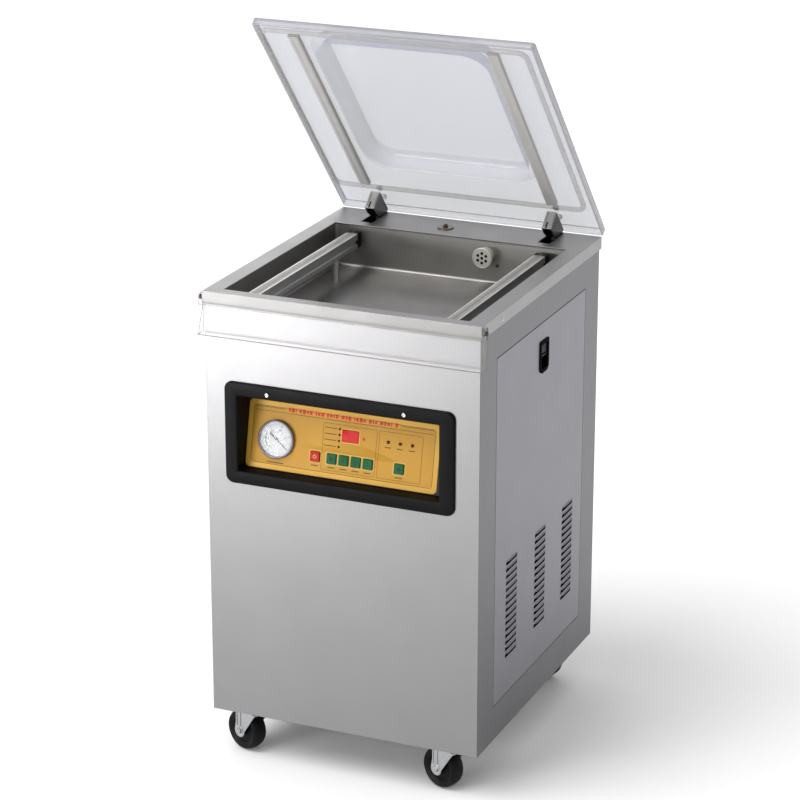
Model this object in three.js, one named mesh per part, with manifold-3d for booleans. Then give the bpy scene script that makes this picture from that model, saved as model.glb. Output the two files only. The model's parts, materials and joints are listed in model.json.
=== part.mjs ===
// Floor-standing single-chamber vacuum packing machine, lid open.
// Millimetres, +Z up. The front faces -Y and the lid is hinged at the back.
// Shapes are drawn in machine coordinates: X = 0 on the centre line, Y = 0 on
// the cabinet's front sheet, Z = 0 on the floor. The exported group moves them
// so that the origin is the bottom centre of the whole machine.

import * as THREE from 'three';
import { mergeVertices } from 'three/addons/utils/BufferGeometryUtils.js';
import Module from 'manifold-3d';

const wasm = await Module();
wasm.setup();

// ---------------------------------------------------------------- dimensions

const GAP = 0.3; // running and resting clearance between separate pieces
const DEG = Math.PI / 180;

// cabinet
const HALF_WIDTH = 245;
const DEPTH = 557;
const BODY_BOTTOM = 85;
const RIM_TOP = 840;
const SHEET = 1.5;
const DOOR = { y: [72, 490], z: [147, 765], sheet: 1.2, ledge: 12 };
const REAR_SHEET_TOP = 816.5;

// top plate, chamber and the parts let into the plate
const PLATE = 3;
const RIM_DEPTH = 22;
const RIM_OVERHANG = 3;
const CHAMBER = { halfX: 218, y: [19, 461], floor: 762, wall: 1.5 };
const HINGE_X = 168;
const HINGE_SLOT = { halfX: 11, y: [482, 556.5] };
const SWITCH = { x: -24, y: 503 };
const STRAINER = { x: 70, z: 812 };

// lid, drawn shut and then turned open about its hinge
const LID_OPEN = 48 * DEG;
const LID_UNDERSIDE = RIM_TOP + 8;
const LID = { halfX: 250, y: [6, 548.5], sheet: 14, corner: 6 };
const POCKET = { halfX: 151.5, y: [46, 407], depth: 30, wall: 9, corner: 42, dome: 26 };
const PIVOT = { y: LID.y[1], z: LID_UNDERSIDE - 19 };
const GASKET = { halfX: 236, y: [14, 467], width: 8, corner: 16 };

// seal bars and what lifts them
const BAR_X = 177;
const BAR = { width: 22, height: 26, y: [28, 453], top: 829.5 };
const ROD_Y = [110, 370];
const ROD_RADIUS = 6;

// control box
const BEZEL = { x: [-210, 203], z: [510.5, 689.5], corner: 14, face: 5 };
const WELL = { x: [-186.5, 175.5], z: [533, 665.5], wall: 2, back: 52 };
const PANEL_TILT = 12 * DEG;
const PANEL = { length: 133, sheet: 2.5, y: 20, z: WELL.z[0] + 1 };
const GAUGE = { x: -131, z: 53, ring: 33, body: 28.5 };
const NEEDLE_ANGLE = -38 * DEG;
const DISPLAY = { x: 1.5, z: 75.5, halfX: 15, halfZ: 10 };
const BUTTON_Z = 34;
const BUTTON = { half: 8.5, proud: 3 };
const BUTTONS = {
  button_power: -59,
  button_set: -29,
  button_up: -7.2,
  button_down: 14.6,
  button_select: 36.4,
  button_stop: 92.5,
};
const LARGE_LEDS = [69.5, 91, 112.5].map((x) => ({ x, z: 75.5, radius: 2.5 }));
const SMALL_LEDS = [55.5, 65.5, 75.5, 85.5].map((z) => ({ x: -18.5, z, radius: 1.6 }));

// casters
const CASTER = { x: 185, y: [36, 519], turn: 158.5 * DEG, trail: 19, wheel: 37, width: 30 };
const CROWN = [75, 77.5];
const RACE_BOTTOM = 79.5;
const LEG = 2.5;

// clear guard round the front of the rim
const GUARD = { halfX: 253, sheet: 3, y: -12, z: [766, 819] };

// ------------------------------------------------------------------- helpers

const toSolid = (geometry) => {
  const bare = geometry.clone();
  bare.deleteAttribute('normal');
  bare.deleteAttribute('uv');
  const merged = mergeVertices(bare, 1e-4);
  const mesh = new wasm.Mesh({
    numProp: 3,
    vertProperties: new Float32Array(merged.attributes.position.array),
    triVerts: new Uint32Array(merged.index.array),
  });
  return new wasm.Manifold(mesh);
};

const toGeometry = (solid) => {
  const mesh = solid.getMesh();
  const geometry = new THREE.BufferGeometry();
  geometry.setAttribute('position', new THREE.BufferAttribute(mesh.vertProperties, 3));
  geometry.setIndex(new THREE.BufferAttribute(mesh.triVerts, 1));
  return geometry;
};

const join = (...pieces) => toGeometry(pieces.map(toSolid).reduce((all, next) => all.add(next)));

const cut = (piece, ...tools) =>
  toGeometry(tools.map(toSolid).reduce((left, tool) => left.subtract(tool), toSolid(piece)));

// a box given by its [low, high] along each axis
const slab = (x, y, z) =>
  new THREE.BoxGeometry(x[1] - x[0], y[1] - y[0], z[1] - z[0]).translate(
    (x[0] + x[1]) / 2,
    (y[0] + y[1]) / 2,
    (z[0] + z[1]) / 2
  );

const around = (centre, half) => [centre - half, centre + half];
const grown = ([low, high], by) => [low - by, high + by];

// a cylinder along one axis, from a low to a high value on it
const cylinder = (axis, radius, span, at, sides = 12) => {
  const geometry = new THREE.CylinderGeometry(radius, radius, span[1] - span[0], sides);
  const middle = (span[0] + span[1]) / 2;
  if (axis === 'x') return geometry.rotateZ(Math.PI / 2).translate(middle, at[0], at[1]);
  if (axis === 'y') return geometry.translate(at[0], middle, at[1]);
  return geometry.rotateX(Math.PI / 2).translate(at[0], at[1], middle);
};

const polygon = (points) => new THREE.Shape(points.map(([a, b]) => new THREE.Vector2(a, b)));

const roundedRect = (x, y, radius) => {
  const shape = new THREE.Shape();
  shape.absarc(x[1] - radius, y[1] - radius, radius, 0, Math.PI / 2);
  shape.absarc(x[0] + radius, y[1] - radius, radius, Math.PI / 2, Math.PI);
  shape.absarc(x[0] + radius, y[0] + radius, radius, Math.PI, 1.5 * Math.PI);
  shape.absarc(x[1] - radius, y[0] + radius, radius, 1.5 * Math.PI, 2 * Math.PI);
  return shape;
};

const extrude = (shape, depth, options = {}) =>
  new THREE.ExtrudeGeometry(shape, { depth, bevelEnabled: false, curveSegments: 5, ...options });

// a shape drawn in X and Y, extruded up
const alongZ = (shape, z, options) => extrude(shape, z[1] - z[0], options).translate(0, 0, z[0]);

// a shape drawn in Y and Z, extruded along X
const alongX = (shape, x, options) => {
  const turn = new THREE.Matrix4().makeBasis(
    new THREE.Vector3(0, 1, 0),
    new THREE.Vector3(0, 0, 1),
    new THREE.Vector3(1, 0, 0)
  );
  return extrude(shape, x[1] - x[0], options).applyMatrix4(turn).translate(x[0], 0, 0);
};

// a shape drawn in X and Z, extruded towards -Y and placed between two values of Y
const alongY = (shape, y, options) =>
  extrude(shape, y[1] - y[0], options).rotateX(Math.PI / 2).translate(0, y[1], 0);

// a profile of [radius, height] points turned about Z
const turned = (points, sides) =>
  new THREE.LatheGeometry(points.map(([r, h]) => new THREE.Vector2(r, h)), sides).rotateX(Math.PI / 2);

const material = (color, roughness, metalness, opacity = 1) =>
  new THREE.MeshStandardMaterial({ color, roughness, metalness, opacity, transparent: opacity < 1 });

const steel = material(0xc9c8c6, 0.35, 1);
const darkSteel = material(0x8c8c8c, 0.45, 1);
const zinc = material(0xb4b8ba, 0.4, 1);
const clear = material(0xdfe2ea, 0.08, 0, 0.35);
const blackPlastic = material(0x17171a, 0.45, 0);
const greyPlastic = material(0x4a4a4e, 0.5, 0);
const blackRubber = material(0x101010, 0.75, 0);
const silicone = material(0xa9a9a4, 0.7, 0);
const gold = material(0xdba84a, 0.45, 0.1);
const red = material(0xb3241c, 0.4, 0);
const green = material(0x1f6b3c, 0.4, 0);
const castIron = material(0x3d4a52, 0.6, 0.6);
const copper = material(0x9a5b35, 0.5, 0.6);
const boardGreen = material(0x1d5a34, 0.6, 0);
const aluminium = material(0xc4c6c8, 0.3, 1);

const machine = new THREE.Group();

const add = (name, geometry, look, parent = machine) => {
  const mesh = new THREE.Mesh(geometry, look);
  mesh.name = name;
  parent.add(mesh);
  return mesh;
};

const SIDES = [
  ['left', -1],
  ['right', 1],
];

// a [low, high] pair on the right-hand side, or its mirror image on the left
const mirrored = (sign, pair) => (sign > 0 ? pair : [-pair[1], -pair[0]]);

// ------------------------------------------------------------------- cabinet

const makeShell = () => {
  const inner = HALF_WIDTH - SHEET;
  const top = RIM_TOP - PLATE - GAP;
  const wrap = cut(
    slab([-HALF_WIDTH, HALF_WIDTH], [0, DEPTH], [BODY_BOTTOM, top]),
    slab([-inner, inner], [SHEET, DEPTH + 1], [BODY_BOTTOM - 1, top + 1])
  );
  const ledges = SIDES.flatMap(([, sign]) => [
    slab(mirrored(sign, [inner - SHEET, inner + 0.5]), grown(DOOR.y, DOOR.ledge), grown(DOOR.z, DOOR.ledge)),
    slab(mirrored(sign, [228, inner + 0.5]), [DEPTH - 3, DEPTH - 1.7], [BODY_BOTTOM + 1, REAR_SHEET_TOP]),
  ]);
  const openings = SIDES.flatMap(([, sign]) => [
    slab(mirrored(sign, [inner, HALF_WIDTH + 1]), DOOR.y, DOOR.z),
    slab(mirrored(sign, [inner - 3, HALF_WIDTH + 1]), grown(DOOR.y, -DOOR.ledge), grown(DOOR.z, -DOOR.ledge)),
  ]);
  const controlCutOut = slab(grown(WELL.x, WELL.wall + 1), [-1, SHEET + 1], grown(WELL.z, WELL.wall + 1));
  return cut(join(wrap, ...ledges), ...openings, controlCutOut);
};

const LOUVRE = { length: 51, height: 6, pitch: 12, rows: 15, low: 218, y: [150, 285, 418] };
const LATCH = { y: 287.5, z: 704, halfY: 20.5, halfZ: 28.5, bodyY: 17, bodyZ: 23, topCorner: 4, lowCorner: 12 };

const makeSidePanel = (sign) => {
  const outer = HALF_WIDTH;
  const sheet = slab(mirrored(sign, [outer - DOOR.sheet, outer]), grown(DOOR.y, -1.2), grown(DOOR.z, -1.2));
  const through = mirrored(sign, [outer - 4, outer + 1]);
  const slots = LOUVRE.y.flatMap((y) =>
    Array.from({ length: LOUVRE.rows }, (_, row) =>
      slab(through, around(y, LOUVRE.length / 2), around(LOUVRE.low + row * LOUVRE.pitch, LOUVRE.height / 2))
    )
  );
  const latchHole = slab(through, around(LATCH.y, LATCH.bodyY + 0.5), around(LATCH.z, LATCH.bodyZ + 0.5));
  return cut(sheet, ...slots, latchHole);
};

const makeLatchCup = (sign) => {
  const face = HALF_WIDTH + GAP;
  const [front, rear] = around(LATCH.y, LATCH.halfY);
  const [low, high] = around(LATCH.z, LATCH.halfZ);
  const { topCorner, lowCorner } = LATCH;
  const flange = new THREE.Shape();
  flange.absarc(rear - topCorner, high - topCorner, topCorner, 0, Math.PI / 2);
  flange.absarc(front + topCorner, high - topCorner, topCorner, Math.PI / 2, Math.PI);
  flange.absarc(front + lowCorner, low + lowCorner, lowCorner, Math.PI, 1.5 * Math.PI);
  flange.absarc(rear - lowCorner, low + lowCorner, lowCorner, 1.5 * Math.PI, 2 * Math.PI);
  const body = slab(
    mirrored(sign, [face - 14, face + 0.5]),
    around(LATCH.y, LATCH.bodyY),
    around(LATCH.z, LATCH.bodyZ)
  );
  const pocket = slab(mirrored(sign, [face - 11, face + 3]), around(LATCH.y, 14.5), around(LATCH.z, 21.5));
  return cut(join(alongX(flange, mirrored(sign, [face, face + 1.5])), body), pocket);
};

const makeLatchSlide = (sign) => {
  const face = HALF_WIDTH + GAP;
  const plate = slab(mirrored(sign, [face - 10, face - 1]), around(LATCH.y, 14), [LATCH.z - 1, LATCH.z + 21]);
  const thumb = slab(mirrored(sign, [face - 5, face]), around(LATCH.y, 10), [LATCH.z + 2, LATCH.z + 5]);
  return cut(plate, thumb);
};

const REAR_VENT = { x: [-110, 110], halfX: 40, height: 6, pitch: 14, rows: 12, low: 500 };
const INLET = { x: 150, z: 150, halfX: 14, halfZ: 24 };

const makeRearPanel = () => {
  const sheet = slab([-243.2, 243.2], [DEPTH - 1.4, DEPTH], [BODY_BOTTOM + 3, REAR_SHEET_TOP]);
  const through = [DEPTH - 3, DEPTH + 1];
  const slots = REAR_VENT.x.flatMap((x) =>
    Array.from({ length: REAR_VENT.rows }, (_, row) =>
      slab(
          around(x, REAR_VENT.halfX),
          through,
          around(REAR_VENT.low + row * REAR_VENT.pitch, REAR_VENT.height / 2)
        )
    )
  );
  const inletHole = slab(around(INLET.x, INLET.halfX + 0.5), through, around(INLET.z, INLET.halfZ + 0.5));
  return cut(sheet, ...slots, inletHole);
};

const makeInlet = () => {
  const flange = slab(
    around(INLET.x, INLET.halfX + 4),
    [DEPTH + GAP, DEPTH + 2.5],
    around(INLET.z, INLET.halfZ + 4)
  );
  const body = slab(around(INLET.x, INLET.halfX), [DEPTH - 26, DEPTH + 1], around(INLET.z, INLET.halfZ));
  const socket = slab(around(INLET.x, 10), [DEPTH - 20, DEPTH + 3], around(INLET.z, 18));
  const blades = [-9, 0, 9].map((step) =>
    slab(around(INLET.x + (step === 0 ? 3 : -3), 1.2), [DEPTH - 21, DEPTH - 8], around(INLET.z + step, 2.4))
  );
  return join(cut(join(flange, body), socket), ...blades);
};

const makeBasePan = () => {
  const outer = slab([-243.2, 243.2], [SHEET + GAP, DEPTH - 3.6], [BODY_BOTTOM + 2, BODY_BOTTOM + 27]);
  const inner = slab([-241.2, 241.2], [SHEET + GAP + 2, DEPTH - 5.6], [BODY_BOTTOM + 4, BODY_BOTTOM + 28]);
  return cut(outer, inner);
};

// ----------------------------------------------------- top plate and chamber

const makeTopPlate = () => {
  const rim = [HALF_WIDTH + RIM_OVERHANG, -RIM_OVERHANG, DEPTH + RIM_OVERHANG - 0.5];
  const plate = cut(
    slab([-rim[0], rim[0]], [rim[1], rim[2]], [RIM_TOP - RIM_DEPTH, RIM_TOP]),
    slab(
      [-rim[0] + SHEET, rim[0] - SHEET],
      [rim[1] + SHEET, rim[2] - SHEET],
      [RIM_TOP - RIM_DEPTH - 1, RIM_TOP - PLATE]
    )
  );
  const through = [RIM_TOP - PLATE - 1, RIM_TOP + 1];
  const slots = SIDES.map(([, sign]) => slab(around(sign * HINGE_X, HINGE_SLOT.halfX), HINGE_SLOT.y, through));
  return cut(
    plate,
    slab([-CHAMBER.halfX, CHAMBER.halfX], CHAMBER.y, through),
    cylinder('z', 8.6, through, [SWITCH.x, SWITCH.y]),
    ...slots
  );
};

const makeTub = () => {
  const inside = CHAMBER.halfX + 1;
  const y = [CHAMBER.y[0] - 1, CHAMBER.y[1] + 1];
  const top = RIM_TOP - PLATE - GAP;
  const outer = inside + CHAMBER.wall;
  const outerY = [y[0] - CHAMBER.wall, y[1] + CHAMBER.wall];
  const walls = slab([-outer, outer], outerY, [CHAMBER.floor - CHAMBER.wall, top]);
  const flange = slab([-outer - 8, outer + 8], [y[0] - 10, y[1] + 10], [top - CHAMBER.wall, top]);
  const space = slab([-inside, inside], y, [CHAMBER.floor, top + 1]);
  const rodHoles = SIDES.flatMap(([, sign]) =>
    ROD_Y.map((rodY) =>
      cylinder('z', ROD_RADIUS + 0.5, [CHAMBER.floor - 4, CHAMBER.floor + 4], [sign * BAR_X, rodY])
    )
  );
  const port = cylinder('y', 10.5, [y[1] - 2, y[1] + 4], [STRAINER.x, STRAINER.z]);
  return cut(join(walls, flange), space, port, ...rodHoles);
};

const makeStrainer = () => {
  const wall = CHAMBER.y[1] + 1;
  const front = wall - 22;
  const at = [STRAINER.x, STRAINER.z];
  const body = join(
    cylinder('y', 18.5, [front, front + 3.5], at, 20),
    cylinder('y', 14.5, [front + 3, wall - GAP], at, 16),
    cylinder('y', 10, [wall - 1, wall + 12], at)
  );
  const holeAt = (x, z) => cylinder('y', 2.3, [front - 1, front + 2.5], [STRAINER.x + x, STRAINER.z + z], 6);
  const ring = Array.from({ length: 6 }, (_, i) => {
    const turn = i * 60 * DEG;
    return holeAt(9 * Math.cos(turn), 9 * Math.sin(turn));
  });
  return cut(body, holeAt(0, 0), ...ring);
};

const VALVE_OUTLET = 764;

const makeValveBlock = () => {
  const y = CHAMBER.y[1] + 1 + 12 + GAP;
  return join(
    slab(around(STRAINER.x, 28), [y, y + 56], [STRAINER.z - 30, STRAINER.z + 19]),
    cylinder('x', 17, [STRAINER.x + 27, STRAINER.x + 66], [y + 28, STRAINER.z]),
    cylinder('z', 16, [VALVE_OUTLET, STRAINER.z - 29], [STRAINER.x, y + 28])
  );
};

const PUMP = { x: [-225, -15], y: [190, 410], z: [101, 350], intake: [-110, 300], shaftZ: 225 };

const makeHose = () => {
  const valveY = CHAMBER.y[1] + 13 + GAP + 28;
  const route = new THREE.CatmullRomCurve3(
    [
      [STRAINER.x, valveY, VALVE_OUTLET - GAP],
      [STRAINER.x, valveY, 730],
      [30, valveY - 4, 650],
      [-60, 440, 560],
      [-108, 330, 490],
      [PUMP.intake[0], PUMP.intake[1], 430],
      [PUMP.intake[0], PUMP.intake[1], 372.5],
    ].map(([x, y, z]) => new THREE.Vector3(x, y, z))
  );
  const section = new THREE.Shape();
  section.absarc(0, 0, 13, 0, 2 * Math.PI);
  return new THREE.ExtrudeGeometry(section, { steps: 20, curveSegments: 5, extrudePath: route });
};

const makePump = () => {
  const profile = polygon([
    [PUMP.y[0], PUMP.z[0]],
    [PUMP.y[1], PUMP.z[0]],
    [PUMP.y[1], 300],
    [370, PUMP.z[1]],
    [230, PUMP.z[1]],
    [PUMP.y[0], 300],
  ]);
  const pan = BODY_BOTTOM + 4 + GAP;
  const feet = [-200, -60].flatMap((x) =>
    [210, 370].map((y) => slab([x, x + 30], [y, y + 24], [pan, PUMP.z[0] + 1]))
  );
  return join(
    alongX(profile, PUMP.x),
    alongX(polygon([[405, 180], [452, 200], [452, 320], [405, 335]]), [-205, -40]),
    cylinder('z', 24, [PUMP.z[1] - 4, 372], PUMP.intake),
    cylinder('y', 12, [PUMP.y[0] - 6, PUMP.y[0] + 2], [-170, 150]),
    ...feet
  );
};

const makeMotor = () => {
  const pan = BODY_BOTTOM + 4 + GAP;
  const x = [PUMP.x[1] + GAP, PUMP.x[1] + 205];
  const at = [300, PUMP.shaftZ];
  const fins = Array.from({ length: 4 }, (_, i) => {
    const start = x[0] + 30 + i * 28;
    return cylinder('x', 82, [start, start + 8], at);
  });
  return join(
    cylinder('x', 73, [x[0], x[1] - 8], at),
    cylinder('x', 79, [x[1] - 36, x[1]], at),
    ...fins,
    slab([45, 115], [262, 338], [290, 338]),
    slab([30, 130], [235, 365], [pan, 160])
  );
};

const makeTransformer = () => {
  const pan = BODY_BOTTOM + 4 + GAP;
  return join(slab([95, 185], [70, 130], [pan, pan + 78]), slab([110, 170], [55, 145], [pan + 14, pan + 64]));
};

const makeLiftUnit = (sign) => {
  const top = CHAMBER.floor - CHAMBER.wall - GAP;
  const housing = slab(around(sign * BAR_X, 15), [ROD_Y[0] - 30, ROD_Y[1] + 30], [top - 34, top]);
  const bores = ROD_Y.map((y) => cylinder('z', ROD_RADIUS + 0.5, [top - 36, top + 2], [sign * BAR_X, y]));
  return cut(housing, ...bores);
};

const makeSealBar = (sign) => {
  const bottom = BAR.top - BAR.height;
  const bar = slab(around(sign * BAR_X, BAR.width / 2), BAR.y, [bottom, BAR.top]);
  const groove = (side) =>
    slab(
      around(sign * (BAR_X + side * (BAR.width / 2)), 2.5),
      [BAR.y[0] - 1, BAR.y[1] + 1],
      [bottom + 8, bottom + 14]
    );
  const rods = ROD_Y.map((y) => cylinder('z', ROD_RADIUS, [CHAMBER.floor - 30, bottom + 1], [sign * BAR_X, y]));
  return join(cut(bar, groove(-1), groove(1)), ...rods);
};

// ----------------------------------------------------------------- lid hinge

const PIN_RADIUS = 4;
const ARM_HALF = 9;
const EAR = { half: 12.5, inner: 9.5, y: [531, 555], z: 815 };

const makeHingeBracket = (sign) => {
  const top = RIM_TOP - PLATE - GAP;
  const block = slab(around(sign * HINGE_X, EAR.half), EAR.y, [EAR.z - 3, top]);
  const yoke = slab(around(sign * HINGE_X, EAR.inner), [EAR.y[0] - 1, EAR.y[1] + 1], [EAR.z, top + 1]);
  const hole = cylinder('x', PIN_RADIUS + GAP, around(sign * HINGE_X, 20), [PIVOT.y, PIVOT.z]);
  return cut(block, yoke, hole);
};

const makeHingePin = (sign) => {
  const x = sign * HINGE_X;
  const reach = EAR.half + 1;
  return join(
    cylinder('x', PIN_RADIUS, [x - reach, x + reach], [PIVOT.y, PIVOT.z]),
    cylinder('x', 6, sign > 0 ? [x + EAR.half + GAP, x + 16] : [x - 16, x - EAR.half - GAP], [PIVOT.y, PIVOT.z])
  );
};

// the arm is a channel: a web across its front, two cheeks, and a boss round the pin
const makeHingeArm = (sign) => {
  const { y, z } = PIVOT;
  const top = LID_UNDERSIDE - GAP;
  const cheek = new THREE.Shape();
  cheek.moveTo(y - 60, top);
  cheek.lineTo(y - 60, z - 17.3);
  cheek.lineTo(y - 44, z - 17.3);
  cheek.lineTo(y - 3, z - 6.3);
  cheek.absarc(y, z, 7, -115 * DEG, 135 * DEG, false);
  cheek.lineTo(y - 6, top);
  const hollow = polygon([
    [y - 57, top - 3],
    [y - 57, z - 30],
    [y - 9.5, z - 30],
    [y - 9.5, top - 3],
  ]);
  return cut(
    alongX(cheek, around(sign * HINGE_X, ARM_HALF)),
    alongX(hollow, around(sign * HINGE_X, ARM_HALF - 3)),
    cylinder('x', PIN_RADIUS + GAP, around(sign * HINGE_X, 20), [y, z])
  );
};

// ----------------------------------------------------------------------- lid

const makeLidPlate = () => {
  const under = LID_UNDERSIDE;
  const plate = alongZ(roundedRect([-LID.halfX, LID.halfX], LID.y, LID.corner), [under, under + LID.sheet]);
  const rounding = { bevelEnabled: true, bevelThickness: 8, bevelSize: 8, bevelOffset: -8, bevelSegments: 2 };
  const domeTop = under + LID.sheet + POCKET.dome;
  const dome = alongZ(
    roundedRect(
      [-POCKET.halfX - POCKET.wall, POCKET.halfX + POCKET.wall],
      [POCKET.y[0] - POCKET.wall, POCKET.y[1] + POCKET.wall],
      POCKET.corner + POCKET.wall
    ),
    [under + 10, domeTop - 8],
    rounding
  );
  const recess = alongZ(
    roundedRect([-POCKET.halfX, POCKET.halfX], POCKET.y, POCKET.corner),
    [under - 20, under + POCKET.depth - 8],
    rounding
  );
  return cut(join(plate, dome), recess);
};

const makeGasket = () => {
  const half = GASKET.width / 2;
  const ring = (grow) =>
    roundedRect(
      [-GASKET.halfX - grow, GASKET.halfX + grow],
      [GASKET.y[0] - grow, GASKET.y[1] + grow],
      GASKET.corner + grow
    );
  const outline = ring(half);
  outline.holes.push(ring(-half));
  return alongZ(outline, [RIM_TOP + GAP, LID_UNDERSIDE - GAP], { curveSegments: 4 });
};

const makePressureBar = (sign) =>
  slab(
    around(sign * BAR_X, 10),
    [CHAMBER.y[0] + 5, CHAMBER.y[1] - 4],
    [LID_UNDERSIDE - 8, LID_UNDERSIDE - GAP]
  );

// ------------------------------------------------------------ lid switch etc.

const makeSwitchHousing = () =>
  cut(
    join(
      cylinder('z', 15, [RIM_TOP + GAP, RIM_TOP + 2.3], [SWITCH.x, SWITCH.y], 20),
      cylinder('z', 8, [800, RIM_TOP + 1], [SWITCH.x, SWITCH.y])
    ),
    cylinder('z', 4.4, [799, RIM_TOP + 3], [SWITCH.x, SWITCH.y])
  );

const makeSwitchPin = () =>
  turned([[0, 808], [3.8, 808], [3.8, RIM_TOP + 6.2], [2.6, RIM_TOP + 7.4], [0, RIM_TOP + 7.4]], 12).translate(
    SWITCH.x,
    SWITCH.y,
    0
  );

// a clear strip across the front with a wing round each side, held off by a boss
const makeGuard = () => {
  const { halfX, sheet, y, z } = GUARD;
  const strip = slab([-halfX, halfX], [y, y + sheet], z);
  const wing = polygon([
    [y, z[0]],
    [y + sheet, z[0]],
    [11, 814],
    [11, RIM_TOP - 4],
    [-3, RIM_TOP - 4],
    [y, z[1]],
  ]);
  const wings = SIDES.map(([, sign]) => alongX(wing, mirrored(sign, [halfX - sheet, halfX])));
  const bosses = SIDES.map(([, sign]) =>
    cylinder('x', 5, mirrored(sign, [HALF_WIDTH + RIM_OVERHANG + GAP, halfX - 1]), [3, 828])
  );
  return join(strip, ...wings, ...bosses);
};

// --------------------------------------------------------------- control box

const makeBezel = () => {
  const { x, z, corner, face } = BEZEL;
  const flange = alongY(roundedRect(x, z, corner), [-face, -GAP]);
  const tray = slab(grown(WELL.x, WELL.wall), [-1, WELL.back], grown(WELL.z, WELL.wall));
  const well = slab(WELL.x, [-face - 1, WELL.back + 1], WELL.z);
  return cut(join(flange, tray), well);
};

// The pieces below share the panel's own axes: X across, Z up along the panel,
// Y = 0 on its face and -Y towards the operator.
const panelGroup = new THREE.Group();
panelGroup.position.set(0, PANEL.y, PANEL.z);
panelGroup.rotation.x = -PANEL_TILT;
machine.add(panelGroup);

const makePanel = () => {
  const through = [-1, PANEL.sheet + 1];
  return cut(
    slab(grown(WELL.x, -0.5), [0, PANEL.sheet], [0, PANEL.length]),
    cylinder('y', GAUGE.body + 0.8, through, [GAUGE.x, GAUGE.z], 24),
    slab(around(DISPLAY.x, DISPLAY.halfX + GAP), through, around(DISPLAY.z, DISPLAY.halfZ + GAP)),
    ...Object.values(BUTTONS).map((x) =>
      slab(around(x, BUTTON.half + GAP), through, around(BUTTON_Z, BUTTON.half + GAP))
    ),
    ...[...LARGE_LEDS, ...SMALL_LEDS].map((led) => cylinder('y', led.radius + 0.4, through, [led.x, led.z], 8))
  );
};

const GAUGE_FRONT = -7;
const DIAL_Y = -1.5;

const makeGaugeCase = () => {
  const at = [GAUGE.x, GAUGE.z];
  return cut(
    join(
      cylinder('y', GAUGE.ring, [GAUGE_FRONT, -GAP], at, 28),
      cylinder('y', GAUGE.body, [-1, 32], at, 24),
      cylinder('y', 7, [31, 44], at)
    ),
    cylinder('y', GAUGE.ring - 3.5, [GAUGE_FRONT - 1, DIAL_Y], at, 28)
  );
};

const makeGaugeGlass = () =>
  cylinder('y', GAUGE.ring - 3.5 - GAP, [GAUGE_FRONT + 0.8, GAUGE_FRONT + 2.3], [GAUGE.x, GAUGE.z], 28);

const makeNeedle = () => {
  const pointer = polygon([
    [-16, -2],
    [-11, -2],
    [0, -0.9],
    [23, -0.4],
    [23, 0.4],
    [0, 0.9],
    [-11, 2],
    [-16, 2],
  ]);
  const y = [DIAL_Y - 1.6, DIAL_Y - 0.8];
  return join(alongY(pointer, y), cylinder('y', 3.2, [y[0] - 0.8, DIAL_Y - GAP], [0, 0], 8))
    .rotateY(-NEEDLE_ANGLE)
    .translate(GAUGE.x, 0, GAUGE.z);
};

const makeButton = (x) => {
  const cap = slab(around(x, BUTTON.half), [-BUTTON.proud, PANEL.sheet + 1], around(BUTTON_Z, BUTTON.half));
  const lip = slab(
    around(x, BUTTON.half + 1.4),
    [PANEL.sheet + GAP, PANEL.sheet + 1.8],
    around(BUTTON_Z, BUTTON.half + 1.4)
  );
  return join(cap, lip);
};

const makeDisplay = () =>
  join(
    slab(around(DISPLAY.x, DISPLAY.halfX), [-0.8, PANEL.sheet + 1], around(DISPLAY.z, DISPLAY.halfZ)),
    slab(
      around(DISPLAY.x, DISPLAY.halfX + 1.5),
      [PANEL.sheet + GAP, PANEL.sheet + 3],
      around(DISPLAY.z, DISPLAY.halfZ + 1.5)
    )
  );

const makeBoard = () => {
  const board = [8, 9.6];
  return join(
    slab([-85, 160], board, [14, 116]),
    slab([115, 150], [9.4, 26], [24, 64]),
    ...[...LARGE_LEDS, ...SMALL_LEDS].map((led) =>
      cylinder('y', led.radius, [-1.2, board[1] - 0.5], [led.x, led.z], 8)
    )
  );
};

// ------------------------------------------------------------------- casters

const makeCasterPlate = () => {
  const plate = slab([-30, 30], [-28, 28], [BODY_BOTTOM - 1.3, BODY_BOTTOM + 1.7]);
  const race = cylinder('z', 20, [RACE_BOTTOM, BODY_BOTTOM - 1], [0, 0], 16);
  return cut(join(plate, race), cylinder('z', 5.6, [70, 90], [0, 0]));
};

// local axes: +X is where the wheel trails, and the axle lies along Y
const makeCasterFork = () => {
  const { trail, wheel, width } = CASTER;
  const inner = width / 2 + 1;
  const leg = new THREE.Shape();
  leg.moveTo(-21, CROWN[1]);
  leg.lineTo(trail - 12, wheel);
  leg.absarc(trail, wheel, 12, Math.PI, 2 * Math.PI, false);
  leg.lineTo(23, CROWN[1]);
  const legs = [
    [-inner - LEG, -inner],
    [inner, inner + LEG],
  ].map((y) => alongY(leg, y, { curveSegments: 4 }));
  return join(
    slab([-21, 23], [-inner - LEG, inner + LEG], CROWN),
    cylinder('z', 17, [CROWN[0] + 1, RACE_BOTTOM - GAP], [0, 0], 16),
    cylinder('z', 5, [CROWN[1], BODY_BOTTOM + 1], [0, 0]),
    ...legs,
    cylinder('y', 4, [-inner - LEG - 1, inner + LEG + 1], [trail, wheel], 10),
    cylinder('y', 6.5, [-inner - LEG - 4, -inner - LEG + 1], [trail, wheel], 6),
    cylinder('y', 6.5, [inner + LEG - 1, inner + LEG + 4], [trail, wheel], 6)
  );
};

const makeCasterWheel = () => {
  const { wheel, width } = CASTER;
  const half = width / 2;
  const bore = 4.5;
  const profile = [
    [bore, -half],
    [wheel - 5, -half],
    [wheel - 1, -half + 5],
    [wheel, 0],
    [wheel - 1, half - 5],
    [wheel - 5, half],
    [bore, half],
    [bore, -half],
  ];
  return turned(profile, 24).rotateX(Math.PI / 2);
};

// ------------------------------------------------------------------ assembly

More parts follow.
